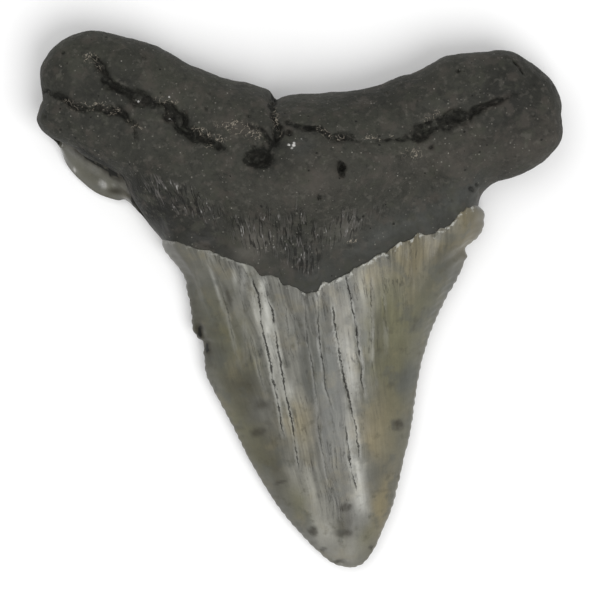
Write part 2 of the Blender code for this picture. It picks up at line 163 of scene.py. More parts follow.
# The calmer edge of the enamel on the labial face, which passes above the heel
LABIAL_EDGE = (
    (-24.4, 16.2), (-19.0, 15.0), (-10.0, 12.5), (0.0, 11.5), (10.0, 12.0), (15.0, 11.0), (17.8, 9.7),
)

# Cutting edges of the crown, from its corners to the tip
CROWN_LEFT = (
    (-13.8, 6.05), (-13.75, 5.4), (-13.2, 4.5), (-11.6, 2.4), (-11.3, 0.9), (-10.9, -0.9), (-10.75, -2.8),
    (-10.4, -3.6), (-9.7, -4.2), (-9.6, -5.6), (-9.4, -7.5), (-8.7, -9.0), (-7.6, -11.0), (-6.1, -14.0),
    (-4.5, -17.0), (-2.7, -20.0), (-1.2, -22.0), (0.6, -24.0), (1.7, -25.1), (2.8, -26.1), (3.8, -26.65),
    (5.0, -26.88),
)
CROWN_RIGHT = (
    (17.85, 9.45), (18.4, 8.9), (18.6, 8.2), (18.4, 7.3), (17.8, 6.3), (17.0, 5.65), (16.5, 5.1),
    (16.75, 4.4), (16.4, 3.4), (15.8, 2.3), (15.1, 1.05), (14.5, 0.0), (13.6, -2.0), (12.8, -4.1),
    (12.0, -7.0), (11.5, -10.0), (11.1, -13.0), (10.4, -16.0), (9.7, -19.0), (9.0, -21.5), (8.3, -23.0),
    (7.5, -24.9), (6.7, -26.1), (5.9, -26.7), (5.0, -26.88),
)

# Thickness of the crown and height of its cutting edge, at shares of the way from enamel edge to tip
CROWN_SHARES = (0.0, 0.2, 0.4, 0.6, 0.8, 0.9, 0.96, 1.0)
CROWN_RELATIVE_THICKNESS = (1.0, 0.94, 0.83, 0.69, 0.5, 0.37, 0.26, 0.16)
EDGE_HEIGHTS = (1.9, 1.85, 1.75, 1.65, 1.5, 1.4, 1.35, 1.3)
CROWN_FULLNESS = 0.72

# Grooves and clefts of the root, each as points along it: x, y, half width and depth
GROOVES = (
    ((-20.6, 23.8, 0.35, 0.5), (-19.5, 22.64, 0.35, 0.8), (-18.7, 21.4, 0.42, 0.9), (-17.43, 20.6, 0.55, 1.0),
     (-16.03, 20.1, 0.68, 1.2), (-14.9, 19.6, 0.5, 0.9), (-13.3, 19.15, 0.55, 1.1), (-12.45, 18.4, 0.6, 1.2),
     (-11.8, 17.4, 0.62, 1.2), (-11.05, 16.6, 0.5, 1.0), (-9.5, 16.1, 0.48, 0.9), (-8.1, 15.33, 0.45, 0.9),
     (-7.4, 15.0, 0.3, 0.4)),
    ((-25.9, 20.5, 0.22, 0.3), (-24.7, 20.5, 0.3, 0.5), (-23.56, 20.22, 0.36, 0.6), (-22.8, 19.7, 0.48, 0.8),
     (-21.9, 19.2, 0.38, 0.7), (-21.13, 18.94, 0.26, 0.45), (-19.86, 19.07, 0.28, 0.45),
     (-18.84, 18.82, 0.36, 0.6), (-17.56, 18.43, 0.42, 0.7), (-16.8, 17.67, 0.3, 0.5),
     (-15.8, 17.03, 0.2, 0.25)),
    ((-1.1, 17.24, 0.3, 0.5), (0.05, 17.0, 0.34, 0.65), (1.6, 16.86, 0.36, 0.75), (2.86, 16.0, 0.28, 0.5),
     (3.9, 16.0, 0.36, 0.6), (6.2, 15.63, 0.24, 0.3), (7.8, 15.8, 0.28, 0.4), (10.2, 15.8, 0.4, 0.7),
     (11.9, 16.43, 0.62, 1.0), (13.5, 17.4, 0.75, 1.1), (14.8, 17.9, 0.55, 0.9), (16.56, 18.34, 0.65, 1.0),
     (18.15, 19.14, 0.42, 0.7), (20.2, 19.94, 0.24, 0.4), (22.0, 20.74, 0.18, 0.2)),
    ((-2.44, 21.2, 0.32, 1.0), (-2.6, 19.8, 0.3, 0.9), (-2.75, 18.9, 0.26, 0.7), (-2.44, 17.4, 0.32, 0.8),
     (-2.1, 16.35, 0.4, 0.9), (-2.3, 15.0, 0.42, 0.8)),
    ((21.2, 23.6, 0.15, 0.45), (22.06, 22.25, 0.17, 0.5)),
    ((-18.0, 12.4, 0.14, 0.4), (-17.4, 11.8, 0.13, 0.35), (-16.5, 10.2, 0.11, 0.25)),
    ((-5.2, 17.4, 0.22, 0.35), (-3.7, 16.9, 0.26, 0.4), (-3.2, 15.6, 0.35, 0.6)),
)

# Pits and chips: x, y, half width, half length and depth
PITS = (
    (-4.0, 13.9, 1.25, 0.85, 1.8), (-3.3, 14.9, 0.6, 0.6, 0.8), (-4.6, 15.1, 0.3, 0.3, 0.35),
    (4.0, 13.0, 0.4, 0.5, 1.6), (4.1, 12.4, 0.26, 0.4, 1.0), (-1.1, 16.35, 0.3, 0.34, 0.8),
    (1.77, 10.0, 0.3, 0.3, 0.5), (-5.05, 18.2, 0.24, 0.2, 0.4), (16.9, 11.0, 0.4, 0.28, 0.5),
    (17.5, 11.55, 0.3, 0.25, 0.45), (8.7, 20.4, 0.2, 0.2, 0.3), (15.6, 22.65, 0.26, 0.24, 0.4),
    (12.9, 15.1, 0.26, 0.24, 0.4), (25.0, 21.1, 0.24, 0.2, 0.3), (20.4, 23.9, 0.22, 0.18, 0.25),
    (-23.4, 24.4, 0.2, 0.18, 0.3), (-23.0, 23.5, 0.2, 0.18, 0.3), (-25.3, 18.2, 0.3, 0.26, 0.3),
    (-22.8, 17.2, 0.42, 0.3, 0.3), (-16.3, 16.3, 0.22, 0.3, 0.5), (-16.4, 15.9, 0.14, 0.3, 0.4),
    (-9.0, 20.5, 0.3, 0.2, 0.3), (-15.4, 24.0, 0.26, 0.2, 0.25), (-9.3, 18.9, 0.16, 0.16, 0.25),
    (9.9, 14.2, 0.2, 0.2, 0.25), (10.9, 13.6, 0.16, 0.16, 0.2), (23.1, 18.2, 0.2, 0.16, 0.2),
    (5.1, 5.45, 0.62, 0.24, 0.22),
)

# Raised lips beside some of the pits and grooves: x, y, half width, half length and height
LIPS = (
    (-1.1, 16.35, 0.75, 0.8, 0.22), (-4.0, 12.9, 1.6, 0.5, 0.18), (-3.6, 19.2, 0.6, 1.6, 0.45),
    (5.1, 5.8, 0.9, 0.28, 0.14), (-12.6, 20.4, 3.2, 0.9, 0.22), (14.0, 19.6, 3.4, 0.8, 0.2),
)

# Lengthwise cracks of the enamel from left to right, each as points along it: x, y and how open it is. Where
# they would meet, they are kept apart by the spacing below the table.
CRACKS = (
    ((-10.5, 2.9, 0.15), (-9.9, 0.5, 0.15), (-9.4, -1.2, 0.1)),
    ((-8.3, 2.6, 0.15), (-7.2, -1.1, 0.35), (-6.5, -4.7, 0.3), (-6.2, -6.4, 0.1)),
    ((-6.0, 3.3, 0.3), (-5.9, 0.7, 0.3), (-5.5, -1.3, 0.2), (-5.4, -6.3, 0.2)),
    ((-4.7, -4.0, 0.15), (-4.0, -7.4, 0.35), (-3.3, -9.8, 0.15)),
    ((-4.6, 1.7, 0.5), (-4.1, 0.5, 0.8), (-3.95, -0.6, 0.85), (-3.85, -2.1, 0.9), (-3.4, -4.3, 0.9),
     (-2.9, -6.3, 1.0), (-2.68, -7.9, 1.0), (-2.35, -9.3, 1.0), (-2.2, -10.3, 0.9), (-1.9, -11.87, 0.7),
     (-1.7, -13.3, 0.4)),
    ((-3.4, 1.9, 0.4), (-3.2, 0.1, 0.6), (-2.7, -1.3, 0.7), (-2.5, -2.9, 0.7), (-2.2, -4.7, 0.7),
     (-1.9, -6.3, 0.7), (-1.6, -8.3, 0.6), (-1.33, -9.6, 0.6), (-0.73, -12.6, 0.7), (-0.3, -15.5, 0.6),
     (-0.15, -16.85, 0.3)),
    ((-1.4, -0.7, 0.25), (-1.2, -2.9, 0.35), (-1.1, -4.4, 0.1)),
    ((-0.7, -1.5, 0.25), (-0.2, -4.1, 0.35), (0.0, -5.6, 0.1)),
    ((0.5, -0.1, 0.25), (0.7, -3.9, 0.35), (1.2, -6.3, 0.4), (1.45, -8.2, 0.35), (1.75, -10.4, 0.2),
     (1.8, -12.6, 0.4), (2.03, -15.26, 0.4), (2.74, -18.1, 0.2)),
    ((1.8, 0.2, 0.25), (1.8, -2.1, 0.4), (2.0, -4.9, 0.6), (2.3, -6.3, 0.4), (2.5, -8.7, 0.4),
     (3.2, -10.7, 0.3)),
    ((4.48, -12.45, 0.4), (4.84, -15.1, 0.7), (5.1, -17.15, 0.8), (5.58, -18.6, 0.4)),
    ((3.3, -1.0, 0.5), (3.35, -2.1, 0.8), (3.8, -4.3, 0.9), (4.1, -6.7, 1.0), (4.5, -8.3, 1.0),
     (4.8, -9.4, 1.0), (5.1, -11.0, 0.9), (5.58, -12.8, 0.7), (5.87, -15.4, 0.4)),
    ((4.5, 2.2, 0.45), (5.0, 0.5, 0.8), (5.2, -0.9, 0.8), (5.6, -2.9, 0.9), (5.72, -4.7, 0.9),
     (6.1, -6.4, 0.75), (6.05, -8.0, 0.5), (6.4, -9.4, 0.3)),
    ((7.0, 1.9, 0.3), (7.0, -0.1, 0.4), (7.1, -2.7, 0.4), (7.1, -5.9, 0.35), (7.5, -8.3, 0.2)),
    ((8.25, 0.14, 0.3), (8.57, -2.67, 0.35), (8.55, -4.96, 0.15)),
    ((10.6, 4.9, 0.2), (11.2, 1.65, 0.15)),
)
CRACK_SPACING = 0.22

# Where the crown is wrinkled lengthwise: x, y, half width, half length and strength
WRINKLED = ((-5.5, 0.5, 5.0, 5.0, 0.65), (5.0, 1.0, 5.0, 4.0, 0.4))

# Chips broken out of the enamel: x, y, half width, half length and depth
CROWN_CHIPS = (
    (-10.15, -3.3, 0.6, 0.95, 0.55), (-9.75, -4.3, 0.35, 0.4, 0.3), (17.0, 5.2, 0.7, 0.5, 0.35),
    (18.2, 7.9, 0.4, 0.6, 0.2), (2.1, -25.2, 0.45, 0.3, 0.25), (4.4, -26.5, 0.6, 0.28, 0.3),
    (7.4, -25.0, 0.3, 0.4, 0.2), (-13.4, 4.6, 0.4, 0.4, 0.2), (-7.0, 0.1, 0.16, 0.9, 0.06),
    (9.98, -17.7, 0.25, 0.35, 0.15), (-4.6, -16.7, 0.25, 0.3, 0.12), (11.3, -11.0, 0.2, 0.3, 0.12),
)

# Soft patches of another colour on the enamel: colour name, x, y, half width, half length, lean in degrees
# (positive leans the lower end to the right) and strength. The pale and bright streaks along the crown's
# middle are partly a painted highlight on its ridges, and the two small sheen patches on the heel are
# painted highlights.
ENAMEL_PATCHES = (
    ("enamel_pale", -4.0, -2.0, 0.8, 5.4, 12, 0.5), ("enamel_pale", 4.0, -3.5, 0.7, 3.6, 9, 0.5),
    ("enamel_pale", 4.8, -11.0, 0.6, 3.4, 7, 0.4), ("enamel_pale", 0.2, -17.0, 0.8, 2.0, 10, 0.35),
    ("enamel_pale", 2.4, -23.0, 1.3, 2.2, 28, 1.0), ("enamel_pale", 4.6, -25.6, 1.4, 1.0, 10, 0.7),
    ("enamel_olive", -8.2, -4.0, 2.8, 5.0, 20, 0.85), ("enamel_blue", -12.2, 2.6, 1.1, 2.2, 25, 0.9),
    ("enamel_blue", -10.9, -1.2, 0.9, 2.4, 10, 0.8), ("enamel_blue", -7.9, -6.0, 1.5, 1.4, 0, 0.75),
    ("enamel_dark", -6.0, -9.0, 1.7, 2.2, 20, 0.75), ("enamel_olive", -6.6, -12.5, 1.6, 2.6, 25, 0.8),
    ("enamel_dark", -2.6, -16.0, 2.0, 4.0, 30, 0.75), ("enamel_dark", -12.0, 2.0, 0.9, 3.2, 25, 0.55),
    ("enamel_bright", -2.0, -6.8, 0.5, 3.6, 11, 0.6), ("enamel_dark", -11.4, 0.0, 1.0, 4.4, 18, 0.6),
    ("enamel_tan", 0.2, -12.2, 1.2, 2.4, 8, 0.75), ("enamel_blue", 1.3, -7.4, 1.7, 2.6, 5, 0.85),
    ("enamel_bright", 5.2, -6.0, 0.6, 1.8, 7, 0.5), ("enamel_bright", 5.2, -15.0, 0.45, 1.8, 7, 0.5),
    ("enamel_bright", 6.1, -18.2, 0.7, 3.2, 4, 0.85), ("enamel_dark", 3.9, -17.8, 0.9, 2.6, 8, 0.75),
    ("enamel_olive", 9.2, -7.0, 2.4, 8.5, 3, 0.75), ("enamel_olive", 8.6, -0.6, 2.4, 4.0, 0, 0.7),
    ("enamel_tan", 6.9, -14.2, 1.2, 1.8, 3, 0.8), ("enamel_blue", 10.4, -8.4, 1.1, 1.4, 0, 0.75),
    ("enamel_tan", 12.2, 4.6, 4.2, 2.2, 26, 0.85), ("enamel_tan", 16.9, 7.0, 1.4, 2.4, -20, 1.0),
    ("enamel_dark", 17.4, 7.4, 1.6, 2.6, -20, 0.5),
    ("enamel_blue", 14.0, 1.6, 1.2, 2.6, -25, 0.9), ("enamel_blue", 8.2, -17.6, 1.2, 1.4, 0, 0.6),
    ("enamel_olive", 12.2, -0.9, 1.6, 3.2, -20, 0.6), ("enamel_tan", 8.1, -20.6, 1.0, 3.4, -14, 0.95),
    ("enamel_dark", 4.4, -22.2, 0.8, 2.6, 0, 0.7), ("enamel_olive", 0.2, -20.2, 1.1, 2.0, 32, 0.75),
    ("enamel_olive", 6.6, -24.0, 0.8, 1.6, -20, 0.6), ("enamel_dark", -9.2, 6.0, 1.5, 2.4, 30, 0.6),
    ("enamel_pale", -0.8, -8.5, 1.3, 6.5, 8, 0.5), ("enamel_pale", 1.4, -19.6, 1.2, 2.6, 18, 0.85),
    ("enamel_blue", 3.0, -8.4, 1.0, 5.6, 4, 0.8), ("enamel_tan", 8.2, -12.4, 1.7, 3.4, 3, 0.6),
    ("enamel_tan", 4.6, -2.6, 0.6, 1.6, 5, 0.6), ("enamel_tan", -0.6, -11.6, 1.5, 1.7, 0, 0.5),
    ("enamel_pale", 4.6, -24.4, 1.8, 1.6, 0, 0.5), ("enamel_pale", 5.2, -9.6, 0.6, 5.0, 5, 0.45),
    ("enamel_blue", -8.8, -2.6, 0.9, 2.8, 12, 0.6), ("enamel_blue", 10.9, -7.8, 0.9, 1.6, 0, 0.7),
    ("enamel_olive", -4.6, -15.2, 1.4, 3.2, 28, 0.5), ("enamel_dark", 13.6, 5.4, 2.4, 1.6, 30, 0.3),
    ("enamel_dark", -11.4, 3.2, 0.9, 3.0, 22, 0.7), ("enamel_dark", 14.3, 3.2, 0.9, 3.0, -27, 0.45),
    ("enamel_pale", -1.0, -17.0, 0.9, 1.8, 12, 0.7), ("enamel_pale", 5.0, -19.2, 0.6, 1.4, 4, 0.6),
    ("enamel_tan", 6.9, 2.8, 1.0, 1.6, 0, 0.5), ("enamel_pale", 6.1, 1.0, 0.35, 1.6, 4, 0.5),
    ("enamel_bright", -8.35, 1.4, 0.16, 2.2, 17, 0.55), ("enamel_bright", -4.4, -1.2, 0.17, 2.3, 9, 0.45),
    ("enamel_bright", -3.2, -2.4, 0.4, 3.2, 6, 0.8), ("enamel_bright", -3.3, -0.8, 0.36, 1.6, 5, 0.6),
    ("enamel_bright", -3.7, 1.5, 0.4, 0.8, 0, 0.75),
    ("enamel_bright", -2.1, -4.0, 0.15, 2.0, 8, 0.6), ("enamel_bright", -5.6, 2.2, 0.3, 1.3, 6, 0.7),
    ("enamel_bright", -6.5, 2.5, 0.2, 1.0, 6, 0.5), ("enamel_pale", 4.5, -1.5, 0.5, 1.8, 6, 0.75),
    ("enamel_bright", 4.7, -5.0, 0.5, 2.4, 6, 0.5), ("enamel_bright", 2.2, -22.6, 0.9, 1.8, 28, 0.22),
    ("enamel_dark", 4.5, -21.8, 0.7, 2.0, 0, 0.55), ("enamel_pale", 4.6, -25.4, 1.2, 0.8, 0, 0.4),
    ("enamel_bright", 4.8, -7.4, 0.4, 1.4, 12, 0.6),
    ("enamel_bright", -0.9, -8.8, 0.4, 0.8, 0, 0.45), ("enamel_dark", -8.9, -4.7, 0.8, 1.5, 10, 0.5),
    ("heel", -20.4, 12.6, 4.4, 3.4, 0, 1.0), ("enamel_dark", -18.6, 10.9, 0.8, 0.36, 0, 0.9),
    ("root", -16.9, 10.0, 0.9, 1.7, 32, 1.0), ("sheen", -19.85, 11.6, 0.34, 0.26, -35, 0.9),
    ("sheen", -22.6, 13.1, 0.2, 0.16, 0, 0.7),
)

# Darker spots of the enamel, in the same terms. The two long black rows on the heel beside the root are a
# painted shadow cast by the root's rim.
ENAMEL_SPOTS = (
    ("stain", -3.8, -10.4, 0.85, 0.5, 10, 0.6), ("stain", -4.3, -13.2, 0.85, 0.52, 5, 0.75),
    ("stain", -6.2, -12.7, 0.7, 0.22, -10, 0.4), ("stain", 9.8, -12.45, 0.72, 0.5, 0, 0.85),
    ("stain", 3.5, -17.7, 0.4, 0.6, 10, 0.3), ("stain", 4.55, -20.7, 0.75, 0.46, 0, 0.85),
    ("stain", 4.55, -23.3, 0.95, 0.42, 0, 0.8), ("stain", 1.3, -23.15, 0.5, 0.45, 20, 0.85),
    ("stain", 4.6, -22.0, 0.7, 1.3, 0, 0.35), ("stain", 10.0, -17.7, 0.3, 0.35, 0, 0.85),
    ("stain", -1.9, -18.2, 0.75, 0.14, 20, 0.8), ("stain", -2.5, -16.7, 0.6, 0.5, 20, 0.3),
    ("stain", 2.3, -25.0, 0.4, 0.22, 20, 0.8), ("stain", 3.9, -26.2, 0.7, 0.24, 10, 0.8),
    ("stain", 7.2, -24.8, 0.34, 0.2, 0, 0.7), ("stain", -7.0, 0.2, 0.22, 1.0, 16, 0.7),
    ("crack", -10.05, -3.2, 0.6, 1.0, 12, 1.0), ("stain", -9.7, -5.2, 0.6, 0.7, 0, 0.6),
    ("stain", -8.6, -3.0, 0.5, 0.6, 0, 0.25), ("stain", 8.2, -19.1, 1.2, 0.16, 4, 0.3),
    ("stain", -3.2, -12.2, 0.4, 0.3, 0, 0.3), ("stain", 5.2, -4.8, 0.9, 0.1, -32, 0.2),
    ("crack", -20.6, 13.9, 0.42, 3.3, 58, 1.0), ("stain", -18.5, 10.95, 0.8, 0.3, 0, 0.8),
    ("crack", -18.8, 12.7, 0.42, 1.6, 54, 1.0), ("crack", -9.25, -4.8, 0.4, 1.0, 8, 1.0),
)

# Soft patches of another colour on the root, in the same terms. The dark patches on the lobes, along the top
# and on the lower left flank are partly painted shade, the pale patches just above the enamel are partly
# painted sheen, and the last row paints the shadow of the root's rim on the heel
ROOT_PATCHES = (
    ("root_warm", 22.6, 15.6, 3.6, 2.0, 35, 0.7), ("root_warm", 15.0, 14.6, 6.0, 1.8, 15, 0.45),
    ("root_warm", -6.0, 17.2, 2.4, 0.9, -12, 0.7), ("root_warm", 1.2, 12.2, 2.6, 3.0, 0, 0.5),
    ("root_green", -21.0, 24.4, 4.4, 2.4, -6, 0.8), ("root_green", -12.6, 21.6, 4.0, 1.6, -25, 0.6),
    ("root_green", 10.4, 15.0, 2.6, 1.0, 0, 0.5), ("root_green", -12.6, 13.4, 1.8, 1.4, 0, 0.35),
    ("root_green", 3.0, 19.0, 5.4, 1.6, 0, 0.8), ("root_dark", 21.5, 20.0, 4.6, 4.2, 35, 0.8),
    ("root_dark", 6.0, 19.6, 7.0, 1.6, 10, 0.6), ("root_dark", -20.0, 21.0, 5.0, 5.0, -25, 0.6),
    ("root_pale", -4.3, 6.1, 1.7, 1.2, -20, 0.95), ("root_pale", 4.4, 7.1, 1.7, 1.0, 20, 0.55),
    ("root_pale", -5.4, 4.8, 1.4, 0.9, -25, 0.85), ("root_dark", -9.4, 6.3, 2.6, 1.9, -18, 0.62),
    ("root_dark", -11.8, 9.8, 4.8, 1.3, -22, 0.62), ("root_dark", -13.4, 7.8, 2.6, 1.6, -35, 0.62),
    ("root_pale", -4.0, 10.4, 3.4, 1.4, 0, 0.24), ("root_dark", -9.0, 5.6, 2.0, 1.2, -18, 0.3),
    ("root_blue", 9.4, 6.8, 7.0, 1.5, 26, 0.75), ("root_blue", 1.6, 2.2, 2.6, 1.2, 0, 0.7),
    ("root_blue", 16.0, 10.2, 2.4, 1.2, 35, 0.7),
    ("root_blue", 0.2, 15.2, 1.2, 0.8, 0, 0.6), ("root_dark", -15.2, 9.6, 2.4, 4.4, 40, 1.0),
    ("root_dark", -3.2, 15.0, 2.2, 2.6, 0, 0.6), ("root_dark", -11.5, 17.4, 2.0, 1.8, -30, 0.4),
    ("root_dark", 0.0, 4.6, 1.6, 2.6, 0, 0.6), ("pit", -20.5, 14.15, 0.34, 3.2, 57, 0.8),
)

# Places where pale sediment sticks in the root's grooves: x, y, half width, half length, lean, strength
SEDIMENT = (
    (-20.7, 23.9, 0.7, 0.5, 0, 0.9), (-19.8, 23.0, 0.5, 0.4, 0, 0.5), (-9.7, 16.6, 0.9, 0.35, -20, 1.0),
    (-22.6, 19.3, 0.9, 0.4, -30, 0.8), (-20.4, 19.2, 1.4, 0.4, 0, 1.0), (-18.6, 18.7, 0.8, 0.35, 0, 1.0),
    (-16.3, 17.2, 0.9, 0.35, -35, 0.7), (-6.2, 17.0, 2.0, 0.7, -10, 0.75), (-4.6, 16.2, 0.8, 0.5, 0, 0.9),
    (-2.4, 18.0, 0.35, 0.9, 0, 0.9), (-2.2, 16.4, 0.4, 0.5, 0, 0.8), (2.4, 16.4, 0.9, 0.35, -40, 0.9),
    (4.0, 15.9, 0.8, 0.3, 0, 0.7), (7.2, 15.9, 1.0, 0.35, 0, 0.8), (9.0, 16.1, 0.7, 0.3, 0, 0.5),
    (-13.2, 19.7, 1.4, 0.4, -10, 0.5), (-7.6, 15.8, 1.0, 0.35, -20, 0.7), (11.2, 14.4, 1.6, 0.8, 0, 0.4),
    (-8.9, 15.2, 0.5, 0.25, 0, 0.8), (5.1, 5.8, 0.75, 0.14, 12, 0.8), (13.0, 18.2, 1.4, 0.4, 28, 0.5),
)

# Zones of short lengthwise strokes between the root and the enamel, and small bright glints, both as x, y,
# half width, half length, lean and strength
STROKE_ZONES = (
    (0.3, 5.8, 2.6, 3.5, 0, 1.0), (-4.5, 6.4, 2.7, 2.6, -15, 1.0), (4.7, 7.0, 2.6, 1.9, 20, 0.9),
    (-11.4, 9.9, 5.0, 1.5, -22, 0.95), (8.2, 8.3, 1.6, 1.2, 20, 0.5), (13.5, 11.0, 3.0, 1.0, 25, 0.3),
)
GLINTS = (
    (0.3, 15.9, 0.34, 0.3, 0, 0.6), (1.77, 10.05, 0.24, 0.24, 0, 1.0), (-0.7, 15.1, 0.6, 0.5, 0, 0.7),
    (-1.05, 16.45, 0.24, 0.24, 0, 0.9), (-16.0, 19.75, 0.26, 0.24, 0, 0.9),
    (-12.9, 17.7, 0.34, 0.22, 0, 0.9), (-13.0, 20.1, 0.26, 0.26, 0, 0.8), (8.7, 16.4, 0.3, 0.3, 0, 0.6),
    (-3.3, 14.6, 0.22, 0.22, 0, 0.7), (-5.7, 12.0, 0.2, 0.2, 0, 0.8), (14.1, 4.9, 0.2, 0.2, 0, 0.6),
)


def smooth_step(value):
    """A rise from 0 to 1 that is level at both ends: 3v^2 - 2v^3."""
    value = np.clip(value, 0.0, 1.0)
    return value * value * (3.0 - 2.0 * value)


def bell(distance):
    """A hump of height 1 whose half width is the unit of distance: exp(-d^2)."""
    return np.exp(-distance ** 2)


def rounding(distance, radius):
    """A quarter circle's rise, 0 at the rim and 1 from one radius inwards: sqrt(1 - (1 - d/r)^2)."""
    return np.sqrt(1.0 - (1.0 - np.clip(distance / radius, 0.0, 1.0)) ** 2)


def eased(steps, evenness):
    """Shares from 0 to 1, closer together at both ends: w * t + (1 - w) * (1 - cos(pi * t)) / 2."""
    even = np.linspace(0.0, 1.0, steps + 1)
    return evenness * even + 0.5 * (1.0 - evenness) * (1.0 - np.cos(np.pi * even))


def raised(plan, height):
    """A grid of points from its plan and its heights."""
    return np.concatenate((plan, height[..., None]), axis=-1)


def read(table, x):
    """The y of a table of outline points at each x."""
    return np.interp(x, *np.transpose(table))


def scattered(cells, seed):
    """One number from -1 to 1 for each lattice point, mixed from its whole coordinates and the seed."""
    factors = np.array((73856093, 19349663, 83492791))[:cells.shape[-1]]
    mixed = ((cells * factors).sum(axis=-1) + seed * 97531) & 0x7FFFFFFF
    mixed = ((mixed ^ (mixed >> 13)) * 1274126177) & 0x7FFFFFFF
    mixed = ((mixed ^ (mixed >> 15)) * 668265263) & 0x7FFFFFFF
    return (mixed >> 7) / 0x7FFFFF - 1.0


def noise(places, size, seed, layers=1):
    """Smooth random field from -1 to 1 on places of two or three coordinates.

    A lattice of the given cell size, which may differ from axis to axis, holds a random number at each of
    its points. A place takes the numbers of the corners round it, blended by smooth steps. Each further
    layer has half the cell size and 0.55 of the height of the one before.
    """
    total, weights = 0.0, 0.0
    for layer in range(layers):
        scaled = places / size * 2.0 ** layer
        cells = np.floor(scaled).astype(np.int64)
        share = smooth_step(scaled - cells)
        for corner in np.ndindex(*(2,) * places.shape[-1]):
            weight = np.where(corner, share, 1.0 - share).prod(axis=-1)
            total = total + 0.55 ** layer * weight * scattered(cells + corner, seed + 31 * layer)
        weights += 0.55 ** layer
    return total / weights


def noise_along(line, size, seed, layers=1, row=0.0):
    """The random field along one number, on a row of its own."""
    return noise(np.stack((line, 0 * line + row), axis=-1), size, seed, layers)


def wander(plan, sizes, seed, layers=1):
    """Two random fields, one for each axis, that make an outline on the plan unsteady."""
    return np.stack([noise(plan, size, seed + axis, layers) for axis, size in enumerate(sizes)], axis=-1)


def curve_through(points, places):
    """Catmull-Rom curve through the points, read at places counted in points from the first."""
    points = np.asarray(points, float)
    ends = np.vstack((2 * points[0] - points[1], points, 2 * points[-1] - points[-2]))
    span = np.clip(np.floor(places).astype(int), 0, len(points) - 2)
    along = (np.asarray(places) - span)[:, None]
    before, start, end, after = (ends[span + offset] for offset in range(4))
    linear = (end - before) * along
    square = (2 * before - 5 * start + 4 * end - after) * along ** 2
    cube = (3 * start - before - 3 * end + after) * along ** 3
    return start + 0.5 * (linear + square + cube)


def drawn(points, steps=10):
    """The smooth curve through outline points, with a number of steps for each point."""
    return curve_through(points, np.linspace(0, len(points) - 1, steps * len(points)))


def at_shares(path, shares):
    """Points at the given shares of a path's length."""
    steps = np.linalg.norm(np.diff(path, axis=0), axis=1)
    length = np.concatenate(([0.0], np.cumsum(steps)))
    return np.stack([np.interp(shares * length[-1], length, path[:, axis]) for axis in (0, 1)], axis=-1)


def nearest_on(plan, line):
    """Distance in plan from each point to the nearest place of a line, and what the line says there.

    Each stretch of the line is a start and a run. The nearest place on it is the offset's share along the
    run, kept from 0 to 1, and the line's further columns, such as a width, are read at the same share.
    """
    start, run = line[:-1], np.diff(line, axis=0)
    offset = plan[..., None, :] - start[:, :2]
    share = np.clip((offset * run[:, :2]).sum(-1) / (run[:, :2] ** 2).sum(-1), 0.0, 1.0)
    gap = np.linalg.norm(offset - share[..., None] * run[:, :2], axis=-1)
    best = gap.argmin(axis=-1)[..., None]
    said = start[best[..., 0], 2:] + np.take_along_axis(share, best, -1) * run[best[..., 0], 2:]
    return np.take_along_axis(gap, best, -1)[..., 0], said


def path_distance(plan, path):
    """Distance in plan from every point of a grid to a path, worked out some rows at a time."""
    rows = max(1, 2_000_000 // (plan.shape[1] * len(path)))
    parts = [nearest_on(plan[first:first + rows], path)[0] for first in range(0, len(plan), rows)]
    return np.concatenate(parts)


def rim_distance(plan, rims):
    """Distance in plan from every point of a grid to the nearest of several rims."""
    return np.min([path_distance(plan, rim) for rim in rims], axis=0)


def patch_cover(plan, x, y, half_width, half_length, lean=0.0, power=2.0):
    """Cover of a soft ellipse: exp(-r^power), with r in half widths along its axes, turned by the lean."""
    turn = np.radians(lean)
    offset_x, offset_y = plan[..., 0] - x, plan[..., 1] - y
    across = offset_x * np.cos(turn) + offset_y * np.sin(turn)
    along = offset_y * np.cos(turn) - offset_x * np.sin(turn)
    return np.exp(-np.hypot(across / half_width, along / half_length) ** power)


def strongest(plan, patches, power=2.0):
    """The strongest cover among soft patches, each times its own strength."""
    covers = [patch[5] * patch_cover(plan, *patch[:5], power) for patch in patches]
    return np.max(covers, axis=0)


def heaped(plan, patches, lean=0.0, power=2.0):
    """The sum of soft patches, each a cover times its height."""
    return sum(patch[4] * patch_cover(plan, *patch[:4], lean, power) for patch in patches)


def fanned(plan, centre, rate):
    """Coordinates that follow the tooth's fan: across = (x - centre) * exp(-rate * y), and along = y."""
    across = (plan[..., 0] - centre) * np.exp(-rate * plan[..., 1])
    return np.stack((across, plan[..., 1]), axis=-1)


